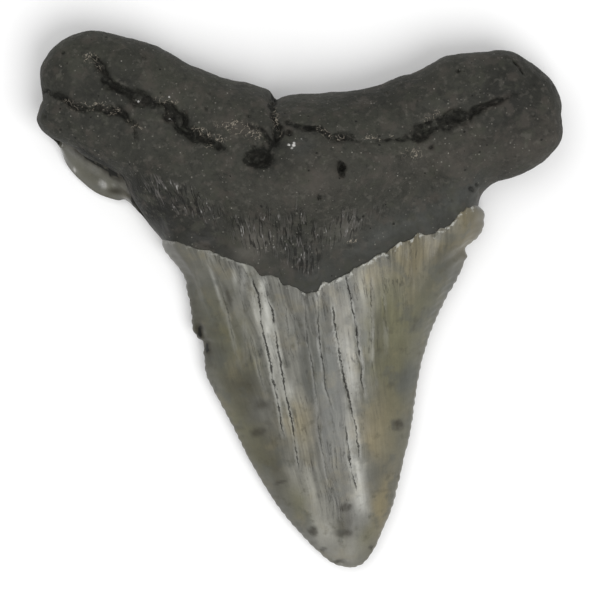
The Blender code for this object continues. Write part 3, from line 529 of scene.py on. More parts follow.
class Outline:
    """The tooth's plan: section lines across the root, the enamel edge and the cutting edges.

    The section lines run from the top edge to the lower one. Those of the lobes come from the tables, and
    those between the crown's corners run straight down to the enamel edge.
    """

    def __init__(self, serration_depth, serration_pitch):
        left = curve_through(LEFT_LOBE, np.linspace(0, len(LEFT_LOBE) - 1, LEFT_COLUMNS + 1))
        right = curve_through(RIGHT_LOBE, np.linspace(0, len(RIGHT_LOBE) - 1, RIGHT_COLUMNS + 1))
        self.enamel = np.array(ENAMEL_EDGE)
        self.calm_enamel = drawn(at_shares(self.enamel, np.linspace(0.0, 1.0, 9)))
        self.crown_left = drawn(CROWN_LEFT)
        self.crown_right = drawn(CROWN_RIGHT)
        self.serration = (serration_depth, serration_pitch)
        self.across = eased(MIDDLE_COLUMNS, 0.6)
        middle_x = self.enamel[0, 0] + (self.enamel[-1, 0] - self.enamel[0, 0]) * self.across
        middle_top = np.stack((middle_x, read(drawn(ROOT_TOP), middle_x)), axis=-1)
        middle_low = np.stack((middle_x, read(self.enamel, middle_x)), axis=-1)
        middle_low[1:-1, 1] += self.jags(middle_x[1:-1])
        self.left = slice(0, LEFT_COLUMNS + 1)
        self.middle = slice(LEFT_COLUMNS, LEFT_COLUMNS + MIDDLE_COLUMNS + 1)
        self.top = np.vstack((left[:, 0:2], middle_top[1:-1], right[:, 0:2]))
        self.low = np.vstack((left[:, 2:4], middle_low[1:-1], right[:, 2:4]))
        self.heel = np.vstack((left[:, 4:6], self.low[LEFT_COLUMNS + 1:]))
        self.bow = np.concatenate((left[:, 6], np.zeros(MIDDLE_COLUMNS - 1), right[:, 4]))
        self.low_height = np.concatenate((left[:, 7], crown_lens(self.across, 0.0)[1:-1], right[:, 5]))
        right_start = LEFT_COLUMNS + MIDDLE_COLUMNS
        self.root_rims = (self.top, self.low[:LEFT_COLUMNS + 1], self.low[right_start:])
        self.rims = (self.top, self.heel[:LEFT_COLUMNS + 1], self.low[right_start:],
                     self.crown_left, self.crown_right)

    def jags(self, x):
        """Fine chipping of the enamel edge: noise times a height that rises from 0.12 to 0.32 on the right."""
        height = 0.12 + 0.2 * smooth_step((x + 1.0) / 5.0)
        fade = smooth_step((17.8 - x) / 1.5) * smooth_step((x + 13.8) / 1.5)
        return height * noise_along(x, 0.55, 5, layers=2) * fade

    def sections(self, low, low_height, share):
        """Plan and base height at shares of the way down each section line, which bows as 4s(1 - s)."""
        plan = self.top[:, None] + (low - self.top)[:, None] * share[None, :, None]
        plan[..., 0] += self.bow[:, None] * (4.0 * share * (1.0 - share))
        return plan, ROOT_RIM_HEIGHT + (low_height - ROOT_RIM_HEIGHT)[:, None] * share


def crown_lens(across, along):
    """Height of the crown's lingual face, a full lens across that thins from the enamel edge to the tip.

    The height is edge + (middle - edge) * (4s(1 - s))^0.72, where s is the share across from edge to edge.
    """
    edge = np.interp(along, CROWN_SHARES, EDGE_HEIGHTS)
    middle = CROWN_HEIGHT * np.interp(along, CROWN_SHARES, CROWN_RELATIVE_THICKNESS)
    return edge + (middle - edge) * (4.0 * across * (1.0 - across)).clip(0.0) ** CROWN_FULLNESS


def hollows(plan):
    """Depth of the root's grooves and pits, in millimetres.

    A groove is depth * exp(-(d / width)^2), with its width and depth read at the nearest place of its
    line, and both unsteady by noise. A pit is a soft ellipse with steep walls, exp(-r^3).
    """
    unsteady = np.clip(1.0 + 0.95 * noise(plan, 1.5, 11, layers=3), 0.25, 1.8)
    moved = 0.42 * wander(plan, (1.2, 1.2), 12, layers=3)
    depth = np.zeros(plan.shape[:-1])
    for line in GROOVES:
        gap, said = nearest_on(plan + moved, drawn(line, 4))
        groove = said[..., 1] * np.exp(-(gap / (0.85 * said[..., 0] * unsteady)) ** 2.0)
        depth = np.maximum(depth, GROOVE_WEAR * groove * (0.2 + 0.8 * unsteady))
    steady = plan + 0.45 * moved
    for *pit, pit_depth in PITS:
        depth = np.maximum(depth, 0.85 * pit_depth * patch_cover(steady, *pit, power=3.0))
    return depth


def strokes(plan):
    """Where the short lengthwise strokes of the root lie, from 0 to 1, fading towards the enamel edge."""
    x, y = plan[..., 0], plan[..., 1]
    smooth_band = 0.9 + 1.9 * smooth_step((x - 1.0) / 3.5)
    calm = smooth_step((y - read(ENAMEL_EDGE, x) - smooth_band) / 1.2)
    return calm * strongest(plan + 0.7 * wander(plan, (2.2, 1.1), 21), STROKE_ZONES, 3.0)


def root_relief(plan):
    """Change of height of the root's lingual face: low waves, raised lips, fine strokes and the hollows."""
    waves = 0.2 * noise(plan, 5.2, 1) + 0.15 * noise(plan, 2.3, 2) + 0.11 * noise(plan, 0.95, 3, layers=3)
    fine = 0.05 * strokes(plan) * noise(fanned(plan, *ROOT_FAN), (0.5, 2.8), 4, layers=2)
    return waves + heaped(plan, LIPS) + fine - hollows(plan)


def corner_nearness(outline, plan):
    """How near a point of the root is to the crown's corners, where its flanks slope more gently.

    Nearness = exp(-(d / 6)^2) + 0.8 * exp(-(e / 5)^2), with d and e the distances to the two corners.
    """
    left = np.linalg.norm(plan - outline.enamel[0], axis=-1)
    right = np.linalg.norm(plan - outline.enamel[-1], axis=-1)
    return bell(left / 6.0) + 0.8 * bell(right / 5.0)


def root_front(outline):
    """Lingual face of the root on a grid of section lines and places along them.

    Height = base + (crest - base) * rise * fall + relief. The base runs from rim to rim, the crest swells
    in the middle, the rise is a quarter circle inwards from the rims, and the fall leads down to the
    enamel edge.
    """
    plan, base = outline.sections(outline.low, outline.low_height, eased(FRONT_ROWS, 0.5))
    x, y = plan[..., 0], plan[..., 1]
    radius = ROOT_ROUNDING + CORNER_EASE * corner_nearness(outline, plan)
    rise = rounding(rim_distance(plan, outline.root_rims), radius)
    crest = LOBE_HEIGHT + SWELLING_HEIGHT * bell((x - 0.5) / 11.0) * bell((y - 12.5) / 7.0)
    inside = smooth_step(np.minimum(x - outline.enamel[0, 0], outline.enamel[-1, 0] - x) / 6.5)
    above = y - read(outline.calm_enamel, x)
    fall = 1.0 - inside * (1.0 - smooth_step(above / (4.0 + 6.0 * inside)) ** 1.2)
    relief = root_relief(plan) * np.clip(2.2 * rise, 0.0, 1.0) * (0.3 + 0.7 * fall)
    return raised(plan, base + (crest - base) * rise * fall + relief)


def heel_strip(outline, front):
    """Under the left lobe, the root's rim turns under and the enamel heel runs out to its thin edge.

    Five rows are set out from the rim, by way of the undercut, to the heel's edge, and a smooth curve
    through them gives the strip its finer rows. Also gives how far the heel stands out in each column,
    from 0 to 1.
    """
    low, heel = outline.low[outline.left], outline.heel[outline.left]
    rim = front[outline.left, -1, 2]
    shown = smooth_step(np.linalg.norm(heel - low, axis=1) / 0.8)
    inward = outline.top[outline.left] - low
    inward = inward / np.maximum(np.linalg.norm(inward, axis=1), 1e-6)[:, None]
    undercut = low + 0.55 * shown[:, None] * inward
    rows = (
        (low, rim),
        (low + 0.6 * (undercut - low), rim + shown * 0.45 * (HEEL_TOP_HEIGHT - rim)),
        (undercut, rim + shown * (HEEL_TOP_HEIGHT - rim)),
        (low + 0.55 * (heel - low), rim + shown * (0.9 * HEEL_TOP_HEIGHT - rim)),
        (heel, rim + shown * (HEEL_EDGE_HEIGHT - rim)),
    )
    drawn_rows = np.stack([np.column_stack((place, height)) for place, height in rows])
    fine = curve_through(drawn_rows.reshape(len(rows), -1), np.linspace(0, len(rows) - 1, HEEL_ROWS))
    grid = fine.reshape(HEEL_ROWS, -1, 3).swapaxes(0, 1)
    out = smooth_step(np.linspace(-1.0, 1.0, HEEL_ROWS))[None, :]
    bumps = 0.09 * noise(grid[..., :2], 1.3, 41, layers=2) * out * (1.0 - out) * 4.0
    grid[..., 2] += bumps * shown[:, None]
    return grid, shown


def back_height(outline, plan, rim_height, radius, sharpness):
    """Labial face: level on the table, raised to the rims, with a shallow hollow in the root.

    The rise to the rims is a quarter circle where the sharpness is 0 and the square of the nearness to
    the rim where it is 1, which leaves a keener edge.
    """
    x, y = plan[..., 0], plan[..., 1]
    hollow = 0.5 * bell(x / 7.0) * bell((y - 15.5) / 2.6)
    level = np.where(hollow > 0.05, hollow, 0.0)
    distance = rim_distance(plan, outline.rims)
    nearness = 1.0 - np.clip(distance / radius, 0.0, 1.0)
    lift = (1.0 - sharpness) * (1.0 - rounding(distance, radius)) + sharpness * nearness ** 2
    return level + (rim_height - level) * lift


def root_back(outline, low_height):
    """Labial face of the root, from the top edge to the heel, the crown and the right lobe's lower edge."""
    chord = outline.enamel[0] + (outline.enamel[-1] - outline.enamel[0]) * outline.across[:, None]
    low = outline.heel.copy()
    low[outline.middle] = chord
    plan, base = outline.sections(low, low_height, eased(BACK_ROWS, 0.4))
    return raised(plan, back_height(outline, plan, base, ROOT_BACK_ROUNDING, 0.0))


def cutting_edge(outline, path, outward, shares):
    """Places of a cutting edge with its worn serrations at the given shares of its length.

    The edge is moved outwards by depth * (|sin(pi * s / pitch)| - 0.6), with s the length along it, and
    the depth wanders by noise and fades out at the crown's corner and at the tip.
    """
    place = at_shares(path, shares)
    run = at_shares(path, np.minimum(shares + 0.004, 1.0)) - at_shares(path, np.maximum(shares - 0.004, 0.0))
    run = run / np.maximum(np.linalg.norm(run, axis=1), 1e-6)[:, None]
    normal = outward * np.column_stack((run[:, 1], -run[:, 0]))
    depth, pitch = outline.serration
    length = np.linalg.norm(np.diff(path, axis=0), axis=1).sum() * shares
    sizes = (2.3, 3.1, 1.7, 0.5)
    uneven = [noise_along(length, size, 61 + number, row=outward) for number, size in enumerate(sizes)]
    cusps = np.abs(np.sin(np.pi * (length + 0.25 * uneven[0]) / pitch)) - 0.6
    worn = depth * (0.75 + 0.55 * uneven[1]) * cusps
    chips = -0.16 * smooth_step((uneven[2] - 0.45) / 0.4) + 0.035 * uneven[3]
    fade = smooth_step(shares / 0.04) * smooth_step((1.0 - shares) / 0.03)
    return place + normal * ((worn + chips) * fade)[:, None]


def calm_course(path, shares):
    """A path's overall course, without its chips and notches."""
    knots = at_shares(path, np.linspace(0.0, 1.0, CALM_STRETCHES + 1))
    return curve_through(knots, shares * CALM_STRETCHES)


def crown_face(outline, across, along):
    """Plan of the crown's section lines, from one cutting edge to the other.

    A line runs from the calm course of the left edge to that of the right one. Chips move its ends and
    fade inwards as (1 - s)^12, and serrations fade within a constant reach, as (1 - s)^(width / reach).
    """
    left = calm_course(outline.crown_left, along)[:, None]
    right = calm_course(outline.crown_right, along)[:, None]
    share = across[None, :, None]
    plan = left + (right - left) * share
    steepness = np.maximum(np.linalg.norm(right - left, axis=-1, keepdims=True) / SERRATION_REACH, CHIP_FADE)
    edges = ((outline.crown_left, left, 1.0, share), (outline.crown_right, right, -1.0, 1.0 - share))
    for path, calm, outward, far in edges:
        chipped = at_shares(path, along)[:, None]
        serrated = cutting_edge(outline, path, outward, along)[:, None]
        plan += (chipped - calm) * (1.0 - far) ** CHIP_FADE + (serrated - chipped) * (1.0 - far) ** steepness
    return plan


def crown_rim(outline, path, outward):
    """A cutting edge as a row of points, which both faces of the crown share."""
    share = np.linspace(0.0, 1.0, RIM_POINTS + 1)
    place = cutting_edge(outline, path, outward, share)
    return np.column_stack((place, np.interp(share, CROWN_SHARES, EDGE_HEIGHTS)))


def crack_marks(plan):
    """Distance to the nearest crack, its sign changing from crack to crack, and how open that crack is.

    Beyond its ends each crack goes on along the crown's fan, so that the cracks keep their order and the
    sign can alternate: the distance then crosses 0 at a crack and nowhere else.
    """
    centre, rate = CROWN_FAN
    x, y = plan[..., 0], plan[..., 1]
    courses, openings = [], []
    for number, crack in enumerate(CRACKS):
        points = np.array(crack)[::-1]
        inside = np.clip(y, points[0, 1], points[-1, 1])
        wobble = 0.05 * noise_along(y, 0.7, 71, layers=2, row=number)
        drawn_x = np.interp(inside, points[:, 1], points[:, 0])
        course = centre + (drawn_x - centre) * np.exp(rate * (y - inside))
        courses.append(course + wobble - CRACK_SPACING * number)
        fade = 1.0 - smooth_step(np.abs(y - inside) / 0.8)
        openings.append(np.interp(inside, points[:, 1], points[:, 2]) * fade)
    order = CRACK_SPACING * np.arange(len(CRACKS))
    courses = np.maximum.accumulate(np.stack(courses, axis=-1), axis=-1) + order
    gaps = np.abs(x[..., None] - courses)
    nearest = gaps.argmin(axis=-1)[..., None]
    passed = (x[..., None] > courses).sum(axis=-1)
    gap = np.take_along_axis(gaps, nearest, -1)[..., 0]
    opening = np.take_along_axis(np.stack(openings, axis=-1), nearest, -1)[..., 0]
    return gap * np.where(passed % 2, -1.0, 1.0), opening


def enamel_relief(plan):
    """Change of height of the crown's lingual face: low waves, lengthwise wrinkles, cracks and chips."""
    fan = fanned(plan, *CROWN_FAN)
    wrinkled = 0.15 + heaped(plan, WRINKLED)
    waves = 0.09 * noise(plan, 3.6, 81, layers=2) + 0.035 * wrinkled * noise(fan, (0.7, 6.0), 82, layers=2)
    gap, opening = crack_marks(plan)
    cracks = opening * (0.03 * bell(gap / 0.5) - 0.09 * bell(gap / 0.17))
    return waves + cracks - heaped(plan, CROWN_CHIPS, 12.0, 3.5)


def crown_front(outline, front, enamel_step):
    """Lingual face of the crown, which starts on the root's lower edge and steps up to the enamel.

    Near the root the section lines sag with the enamel edge, as (1 - t)^1.6 for its overall course and
    much faster for its fine jags, with t the share of the way to the tip.
    Height = lens + (offset + step) * (1 - t / 0.2)^2 + relief, where the offset joins the lens to the
    root's own height along the enamel edge, and the relief fades out at the cutting edges.
    """
    across = outline.across
    inward = np.minimum(across, 1.0 - across)
    along = np.insert(np.linspace(0.0, 1.0, CROWN_ROWS + 1), 1, (0.0018, 0.0034))
    start = front[outline.middle, -1]
    plan = crown_face(outline, across, along)
    sag = start[:, 1] - plan[0, :, 1]
    calm = (read(outline.calm_enamel, start[:, 0]) - plan[0, :, 1]) * smooth_step(inward / 0.05)
    near = np.clip(1.0 - along / 0.06, 0.0, 1.0)[:, None] ** 2
    plan[..., 1] += calm * (1.0 - along[:, None]) ** 1.6 + (sag - calm) * near
    lens = crown_lens(across[None, :], along[:, None])
    chipped = 1.0 + 0.55 * noise_along(start[:, 0], 0.8, 91, layers=2)
    step = enamel_step * chipped * smooth_step(inward / 0.06)
    offset = start[:, 2] - crown_lens(across, 0.0)
    fade = np.clip(1.0 - along / 0.2, 0.0, 1.0)[:, None] ** 2
    height = lens + (offset + step)[None, :] * fade
    edges = smooth_step(inward / 0.035)[None, :]
    ends = smooth_step((1.0 - along) / 0.03)[:, None] * smooth_step(along / 0.004)[:, None]
    height = height + enamel_relief(plan) * edges * ends
    height = np.maximum(height, np.interp(along, CROWN_SHARES, EDGE_HEIGHTS)[:, None] - 0.02)
    height[0] = start[:, 2]
    height[-1] = EDGE_HEIGHTS[-1]
    return raised(plan, height)


def crown_back(outline):
    """Labial face of the crown, on the same section lines as the lingual one, with keener edges."""
    across = np.linspace(0.0, 1.0, CROWN_BACK_COLUMNS + 1)
    along = np.linspace(0.0, 1.0, CROWN_BACK_ROWS + 1)
    plan = crown_face(outline, across, along)
    edge = np.interp(along, CROWN_SHARES, EDGE_HEIGHTS)[:, None]
    height = back_height(outline, plan, edge, CROWN_BACK_ROUNDING, 0.75)
    height[-1] = edge[-1]
    return raised(plan, height)


class Surface:
    """Points and triangles of the tooth, gathered sheet by sheet, with two marks for each point.

    The marks are the side, 1 on the lingual face and -1 on the labial one, and the distance beyond the
    enamel edge, which is negative on the root.
    """

    def __init__(self):
        self.points = []
        self.marks = []
        self.triangles = []
        self.count = 0

    def place(self, grid, side, enamel):
        """Add points and give back their numbers in the grid's own arrangement."""
        shape = grid.shape[:-1]
        numbers = self.count + np.arange(np.prod(shape)).reshape(shape)
        self.count += numbers.size
        self.points.append(grid.reshape(-1, 3))
        marks = (np.full(numbers.size, side), np.broadcast_to(enamel, shape).ravel())
        self.marks.append(np.column_stack(marks))
        return numbers

    def triangle(self, first, second, third, turned):
        """Add triangles from three arrays of numbers, the other way round where turned."""
        corners = (first, third, second) if turned else (first, second, third)
        self.triangles.append(np.stack(corners, axis=-1).reshape(-1, 3))

    def fill(self, numbers, turned=False):
        """Fill the cells of a grid with two triangles each."""
        start, below = numbers[:-1, :-1], numbers[1:, :-1]
        across, beside = numbers[1:, 1:], numbers[:-1, 1:]
        self.triangle(start, below, across, turned)
        self.triangle(start, across, beside, turned)

    def stitch(self, first, second, turned=False):
        """Fill the strip between two rows of n and m steps, which may differ in number.

        Step i of the first row makes a triangle with point floor(i * m / n) of the second row, and step j
        of the second row makes one with point ceil((j + 1) * n / m) of the first.
        """
        n, m = len(first) - 1, len(second) - 1
        i, j = np.arange(n), np.arange(m)
        self.triangle(first[i], first[i + 1], second[i * m // n], turned)
        self.triangle(first[-(-(j + 1) * n // m)], second[j + 1], second[j], turned)

    def merged(self):
        """Points, marks and triangles with coincident points made one and collapsed triangles dropped."""
        points = np.concatenate(self.points)
        keys = np.round(points / MERGE_DISTANCE).astype(np.int64)
        _, kept, group = np.unique(keys, axis=0, return_index=True, return_inverse=True)
        triangles = group.ravel()[np.concatenate(self.triangles)]
        first, second, third = triangles.T
        whole = (first != second) & (second != third) & (third != first)
        return points[kept], np.concatenate(self.marks)[kept], triangles[whole]


def vertex_normals(points, triangles):
    """Unit normals, each the sum of the cross products of the triangles that meet at the point."""
    corners = points[triangles]
    cross = np.cross(corners[:, 1] - corners[:, 0], corners[:, 2] - corners[:, 0])
    total = [np.bincount(triangles.ravel(), np.repeat(cross[:, axis], 3), len(points)) for axis in range(3)]
    total = np.stack(total, axis=-1)
    return total / np.maximum(np.linalg.norm(total, axis=1), 1e-12)[:, None]


def weathered(points, normals, side, enamel):
    """Points moved along their normals by layered noise, coarse on the root and slight on the enamel.

    The labial face up to the level height only sinks in, with pores on its root, so the tooth still rests
    on its level parts.
    """
    bone = smooth_step(-enamel / 0.6)
    coarse = 0.06 * noise(points, 3.1, 101) + 0.1 * noise(points, 1.1, 102, layers=3)
    height = bone * coarse + (1.0 - bone) * 0.014 * noise(points, 0.9, 103, layers=2)
    pores = smooth_step((noise(points, 1.1, 104, layers=2) - 0.3) / 0.25)
    sunk = bone * (0.1 + 0.32 * pores + 0.08 * noise(points, 2.0, 105))
    sunk = sunk * smooth_step((LEVEL_HEIGHT - points[:, 2]) / 0.6)
    level = (side < 0) & (points[:, 2] < LEVEL_HEIGHT)
    labial = points + sunk[:, None] * (0.0, 0.0, 1.0)
    result = np.where(level[:, None], labial, points + normals * height[:, None])
    result[:, 2] = np.maximum(result[:, 2], 0.0)
    return result


def painted(plan, base, patches, colours, power, grain):
    """Colour of each point: the base colour with each soft patch mixed over it by its cover.

    The patches' outlines wander by noise whose cells have the size of the grain.
    """
    moved = wander(plan, (grain, grain), 111, layers=3)
    colour = np.tile(base, (len(plan), 1))
    for name, *ellipse, strength in patches:
        cover = patch_cover(plan + 0.6 * min(ellipse[2:4]) * moved, *ellipse, power)
        colour += (np.array(colours[name]) - colour) * (strength * cover)[:, None]
    return colour


def tooth_marks(outline, points, side, enamel, colours):
    """The marks that the material reads, by name, worked out from the plan of each point.

    The labial face takes its patches and cracks from the plan mirrored about the crown's axis, so it is
    of the same kind without being a copy.
    """
    plan = points[:, :2]
    axis_x = CROWN_AXIS[0] + CROWN_AXIS[1] * plan[:, 1]
    mirrored = np.stack((2.0 * axis_x - plan[:, 0], plan[:, 1] - 0.8), axis=-1)
    lingual = side > 0
    place = np.where(lingual[:, None], plan, mirrored)
    gap, opening = crack_marks(place)
    heel = (enamel > 0.0) & (plan[:, 0] < HEEL_END)
    # The spots hold the stains and also the painted shadow of the root's rim on the heel
    spots = painted(place, np.zeros(3), ENAMEL_SPOTS, {"stain": np.ones(3), "crack": np.ones(3)}, 3.2, 0.5)
    return {
        "enamel": np.clip(enamel, -3.0, 3.0),
        "hollow": np.where(lingual, np.clip(hollows(plan) / FULL_HOLLOW, 0.0, 1.0), 0.0),
        "sediment": np.where(lingual, strongest(plan, SEDIMENT), 0.0),
        "strokes": np.where(lingual, strokes(plan), 0.25 * patch_cover(plan, 0.0, 13.5, 16.0, 2.2)),
        "glint": np.where(lingual, strongest(plan, GLINTS, 3.0), 0.0),
        "spot": np.where(heel & (side < 0), 0.0, spots[:, 0]),
        "crack_gap": gap,
        "crack_opening": np.where(heel, 0.0, opening),
        "edge_gap": np.clip(rim_distance(plan, (outline.crown_left, outline.crown_right)), 0.0, 6.0),
        "root_tone": painted(place, colours["root"], ROOT_PATCHES, colours, 2.0, 2.2),
        "enamel_tone": painted(place, colours["enamel"], ENAMEL_PATCHES, colours, 2.0, 2.2),
    }


def set_marks(mesh, marks):
    """Store the marks as point attributes, numbers as FLOAT and colours as FLOAT_COLOR."""
    for name, values in marks.items():
        if values.ndim == 1:
            layer = mesh.attributes.new(name, "FLOAT", "POINT")
            layer.data.foreach_set("value", values.astype(np.float32))
        else:
            layer = mesh.attributes.new(name, "FLOAT_COLOR", "POINT")
            with_alpha = np.column_stack((values, np.ones(len(values))))
            layer.data.foreach_set("color", with_alpha.astype(np.float32).ravel())


def check_closed(triangles):
    """Raise an error unless every edge is shared by two triangles that run along it in opposite ways."""
    edges = np.concatenate([triangles[:, pair] for pair in ((0, 1), (1, 2), (2, 0))]).astype(np.int64)
    size = triangles.max() + 1
    forward = np.sort(edges[:, 0] * size + edges[:, 1])
    backward = np.sort(edges[:, 1] * size + edges[:, 0])
    if len(np.unique(forward)) != len(forward) or not np.array_equal(forward, backward):
        raise ValueError("the tooth's surface is not closed")


def add_crown_face(surface, grid, side, enamel, rims, start_row, turned):
    """Join one face of the crown to the root's border row above it and to its two cutting edges."""
    numbers = surface.place(grid[1:, 1:-1], side, enamel[1:, 1:-1])
    surface.fill(numbers, turned)
    surface.stitch(start_row, numbers[0], not turned)
    surface.stitch(rims[0], numbers[:, 0], turned)
    surface.stitch(rims[1], numbers[:, -1], not turned)


def tooth_surface(outline, enamel_step):
    """The whole tooth as points in millimetres, their side and enamel marks, and triangles."""
    surface = Surface()
    front = root_front(outline)
    heel, shown = heel_strip(outline, front)
    low_height = outline.low_height.copy()
    low_height[outline.left] = heel[:, -1, 2]
    back = root_back(outline, low_height)
    corners = outline.enamel[[0, -1], None, None]
    front_enamel = -np.linalg.norm(front[..., :2] - corners, axis=-1).min(axis=0)
    middle = outline.middle
    front_enamel[middle] = -np.linalg.norm(front[middle, :, :2] - front[middle, -1:, :2], axis=-1)
    labial_y = np.interp(back[..., 0], *np.transpose(LABIAL_EDGE), left=-99.0, right=-99.0)
    heel_enamel = 1.2 * np.linspace(-1.0, 1.0, HEEL_ROWS)[None, :] - 2.4 * (1.0 - shown)[:, None]
    front_numbers = surface.place(front, 1.0, front_enamel)
    surface.fill(front_numbers.T)
    surface.fill(surface.place(heel, 1.0, heel_enamel).T)
    back_numbers = surface.place(back, -1.0, labial_y - back[..., 1])
    surface.fill(back_numbers.T, True)
    crown = crown_front(outline, front, enamel_step)
    crown_enamel = np.linalg.norm(crown[..., :2] - front[middle, -1, :2], axis=-1)
    rims = []
    for path, outward in ((outline.crown_left, 1.0), (outline.crown_right, -1.0)):
        rim = crown_rim(outline, path, outward)
        rims.append(surface.place(rim, 1.0, np.linalg.norm(rim[:, :2] - rim[0, :2], axis=-1)))
    add_crown_face(surface, crown, 1.0, crown_enamel, rims, front_numbers[middle, -1], False)
    labial = crown_back(outline)
    labial_enamel = read(LABIAL_EDGE, labial[..., 0]) - labial[..., 1]
    add_crown_face(surface, labial, -1.0, labial_enamel, rims, back_numbers[middle, -1], True)
    points, marks, triangles = surface.merged()
    check_closed(triangles)
    return points, marks[:, 0], marks[:, 1], triangles


class NodeBuilder:
    """Adds nodes to a tree; an input is given a socket, which is linked, or a plain value, which is set.

    The builder knows the shared groups and the colours by name.
    """

    def __init__(self, tree, groups=None, colours=None):
        self.tree = tree
        self.groups = groups
        self.colours = colours

    def feed(self, made, inputs, output):
        """Move a new node to its place on the canvas, feed its inputs and give back one of its outputs."""
        count = len(self.tree.nodes)
        made.location = (220 * (count // 8), -190 * (count % 8))
        for key, value in inputs.items():
            if isinstance(value, bpy.types.NodeSocket):
                self.tree.links.new(value, made.inputs[key])
            else:
                made.inputs[key].default_value = value
        return made.outputs[output]

    def add(self, kind, inputs, output=0, **settings):
        """Add a node with its settings and inputs."""
        made = self.tree.nodes.new(kind)
        for name, value in settings.items():
            setattr(made, name, value)
        return self.feed(made, inputs, output)

    def place(self, group, inputs):
        """Place a node group, feed its inputs by name or number and give back its first output."""
        made = self.tree.nodes.new("ShaderNodeGroup")
        made.node_tree = group
        return self.feed(made, inputs, 0)

    def shared(self, name, *values):
        """Place a shared group and feed its inputs in their order."""
        return self.place(self.groups[name], dict(enumerate(values)))

    def math(self, operation, first, second=0.0, clamp=False):
        """A function of two numbers."""
        return self.add("ShaderNodeMath", {0: first, 1: second}, operation=operation, use_clamp=clamp)

    def plus(self, first, second, clamp=False):
        """The sum of two numbers, kept from 0 to 1 where clamped."""
        return self.math("ADD", first, second, clamp)

    def minus(self, first, second):
        """The difference of two numbers."""
        return self.math("SUBTRACT", first, second)

    def away(self, first, second):
        """How far two numbers are apart."""
        return self.math("ABSOLUTE", self.minus(first, second))

    def larger(self, first, second):
        """The larger of two numbers."""
        return self.math("MAXIMUM", first, second)

    def times(self, first, *others):
        """The product of several numbers."""
        for other in others:
            first = self.math("MULTIPLY", first, other)
        return first

    def ramp(self, value, low, high, start=0.0, end=1.0):
        """A smooth step from start, where the value is at low, to end, where it is at high."""
        inputs = {0: value, 1: low, 2: high, 3: start, 4: end}
        return self.add("ShaderNodeMapRange", inputs, interpolation_type="SMOOTHSTEP")

    def mix(self, cover, first, second, blend="MIX"):
        """The second colour over the first by a cover from 0 to 1."""
        inputs = {0: cover, 6: first, 7: second}
        return self.add("ShaderNodeMix", inputs, 2, data_type="RGBA", blend_type=blend)

    def blend(self, cover, first, second):
        """A number that goes from the first to the second by a cover from 0 to 1."""
        return self.add("ShaderNodeMix", {0: cover, 2: first, 3: second}, data_type="FLOAT")

    def noise(self, vector, scale, detail=2.0, roughness=0.5, output=0):
        """Blender's layered noise, about 0.5 on average."""
        inputs = {"Vector": vector, "Scale": scale, "Detail": detail, "Roughness": roughness}
        return self.add("ShaderNodeTexNoise", inputs, output)

    def cloud(self, vector, scale, low, high, start=0.0, end=1.0, detail=4.0):
        """Layered noise taken through a smooth step, which leaves clouds."""
        return self.ramp(self.noise(vector, scale, detail, 0.6), low, high, start, end)

    def tint(self, cover, colour, name):
        """A named colour over another by a cover from 0 to 1."""
        return self.mix(cover, colour, (*self.colours[name], 1.0))

    def clouded(self, colour, *rows):
        """Clouds of named colours over a colour, one for each row.

        A row is the vector, the scale, the low and high ends of the smooth step, the name and the strengths.
        """
        for vector, scale, low, high, name, *strengths in rows:
            colour = self.tint(self.times(self.cloud(vector, scale, low, high), *strengths), colour, name)
        return colour

    def warped(self, vector, scale, reach):
        """The vector moved about by noise, by up to half the reach."""
        moved = self.noise(vector, scale, output=1)
        for operation, other in (("SUBTRACT", (0.5,) * 3), ("MULTIPLY", (reach,) * 3), ("ADD", vector)):
            moved = self.add("ShaderNodeVectorMath", {0: moved, 1: other}, operation=operation)
        return moved

    def stretched(self, vector, scale=(1.0, 1.0, 1.0), offset=(0.0, 0.0, 0.0)):
        """The vector with each axis scaled on its own, and then moved."""
        return self.add("ShaderNodeMapping", {"Vector": vector, "Location": offset, "Scale": scale})

    def finished(self, result, **values):
        """Link the values to the group's outputs and give back the group."""
        for name, value in values.items():
            self.tree.links.new(value, result.inputs[name])
        return self.tree


def new_group(name, inputs, outputs, groups=None, colours=None):
    """An empty node group with named sockets: its builder, its inputs by name and its output node."""
    tree = bpy.data.node_groups.new(name, "ShaderNodeTree")
    kinds = {"value": "NodeSocketFloat", "vector": "NodeSocketVector", "colour": "NodeSocketColor"}
    for direction, sockets in (("INPUT", inputs), ("OUTPUT", outputs)):
        for label, kind in sockets.items():
            tree.interface.new_socket(name=label, in_out=direction, socket_type=kinds[kind])
    entry = tree.nodes.new("NodeGroupInput")
    entry.location = (-300, 0)
    result = tree.nodes.new("NodeGroupOutput")
    result.location = (2200, 0)
    return NodeBuilder(tree, groups, colours), entry.outputs, result


def specks_group():
    """Scattered round specks: a share of the cells each hold one, and each has its own size."""
    inputs = {"Vector": "vector", "Scale": "value", "Size": "value", "Share": "value"}
    build, given, result = new_group("mineral_specks", inputs, {"Mask": "value"})
    cell = build.add("ShaderNodeTexVoronoi", {"Vector": given["Vector"], "Scale": given["Scale"]})
    picked = build.add("ShaderNodeSeparateColor", {0: cell.node.outputs["Color"]})
    own = build.math("MULTIPLY_ADD", picked.node.outputs[1], 1.1)
    own.node.inputs[2].default_value = 0.45
    radius = build.times(given["Size"], own)
    inside = build.math("DIVIDE", build.minus(radius, cell), build.times(radius, 0.5), True)
    chosen = build.math("LESS_THAN", picked, given["Share"])
    return build.finished(result, Mask=build.times(inside, chosen))


def grain_group():
    """Layered noise as a factor about 1: 1 + contrast * (noise - 0.5)."""
    inputs = {"Vector": "vector", "Scale": "value", "Contrast": "value"}
    build, given, result = new_group("mineral_grain", inputs, {"Factor": "value"})
    field = build.noise(given["Vector"], given["Scale"], 4.0, 0.62)
    swing = build.times(build.minus(field, 0.5), given["Contrast"])
    return build.finished(result, Factor=build.plus(swing, 1.0))


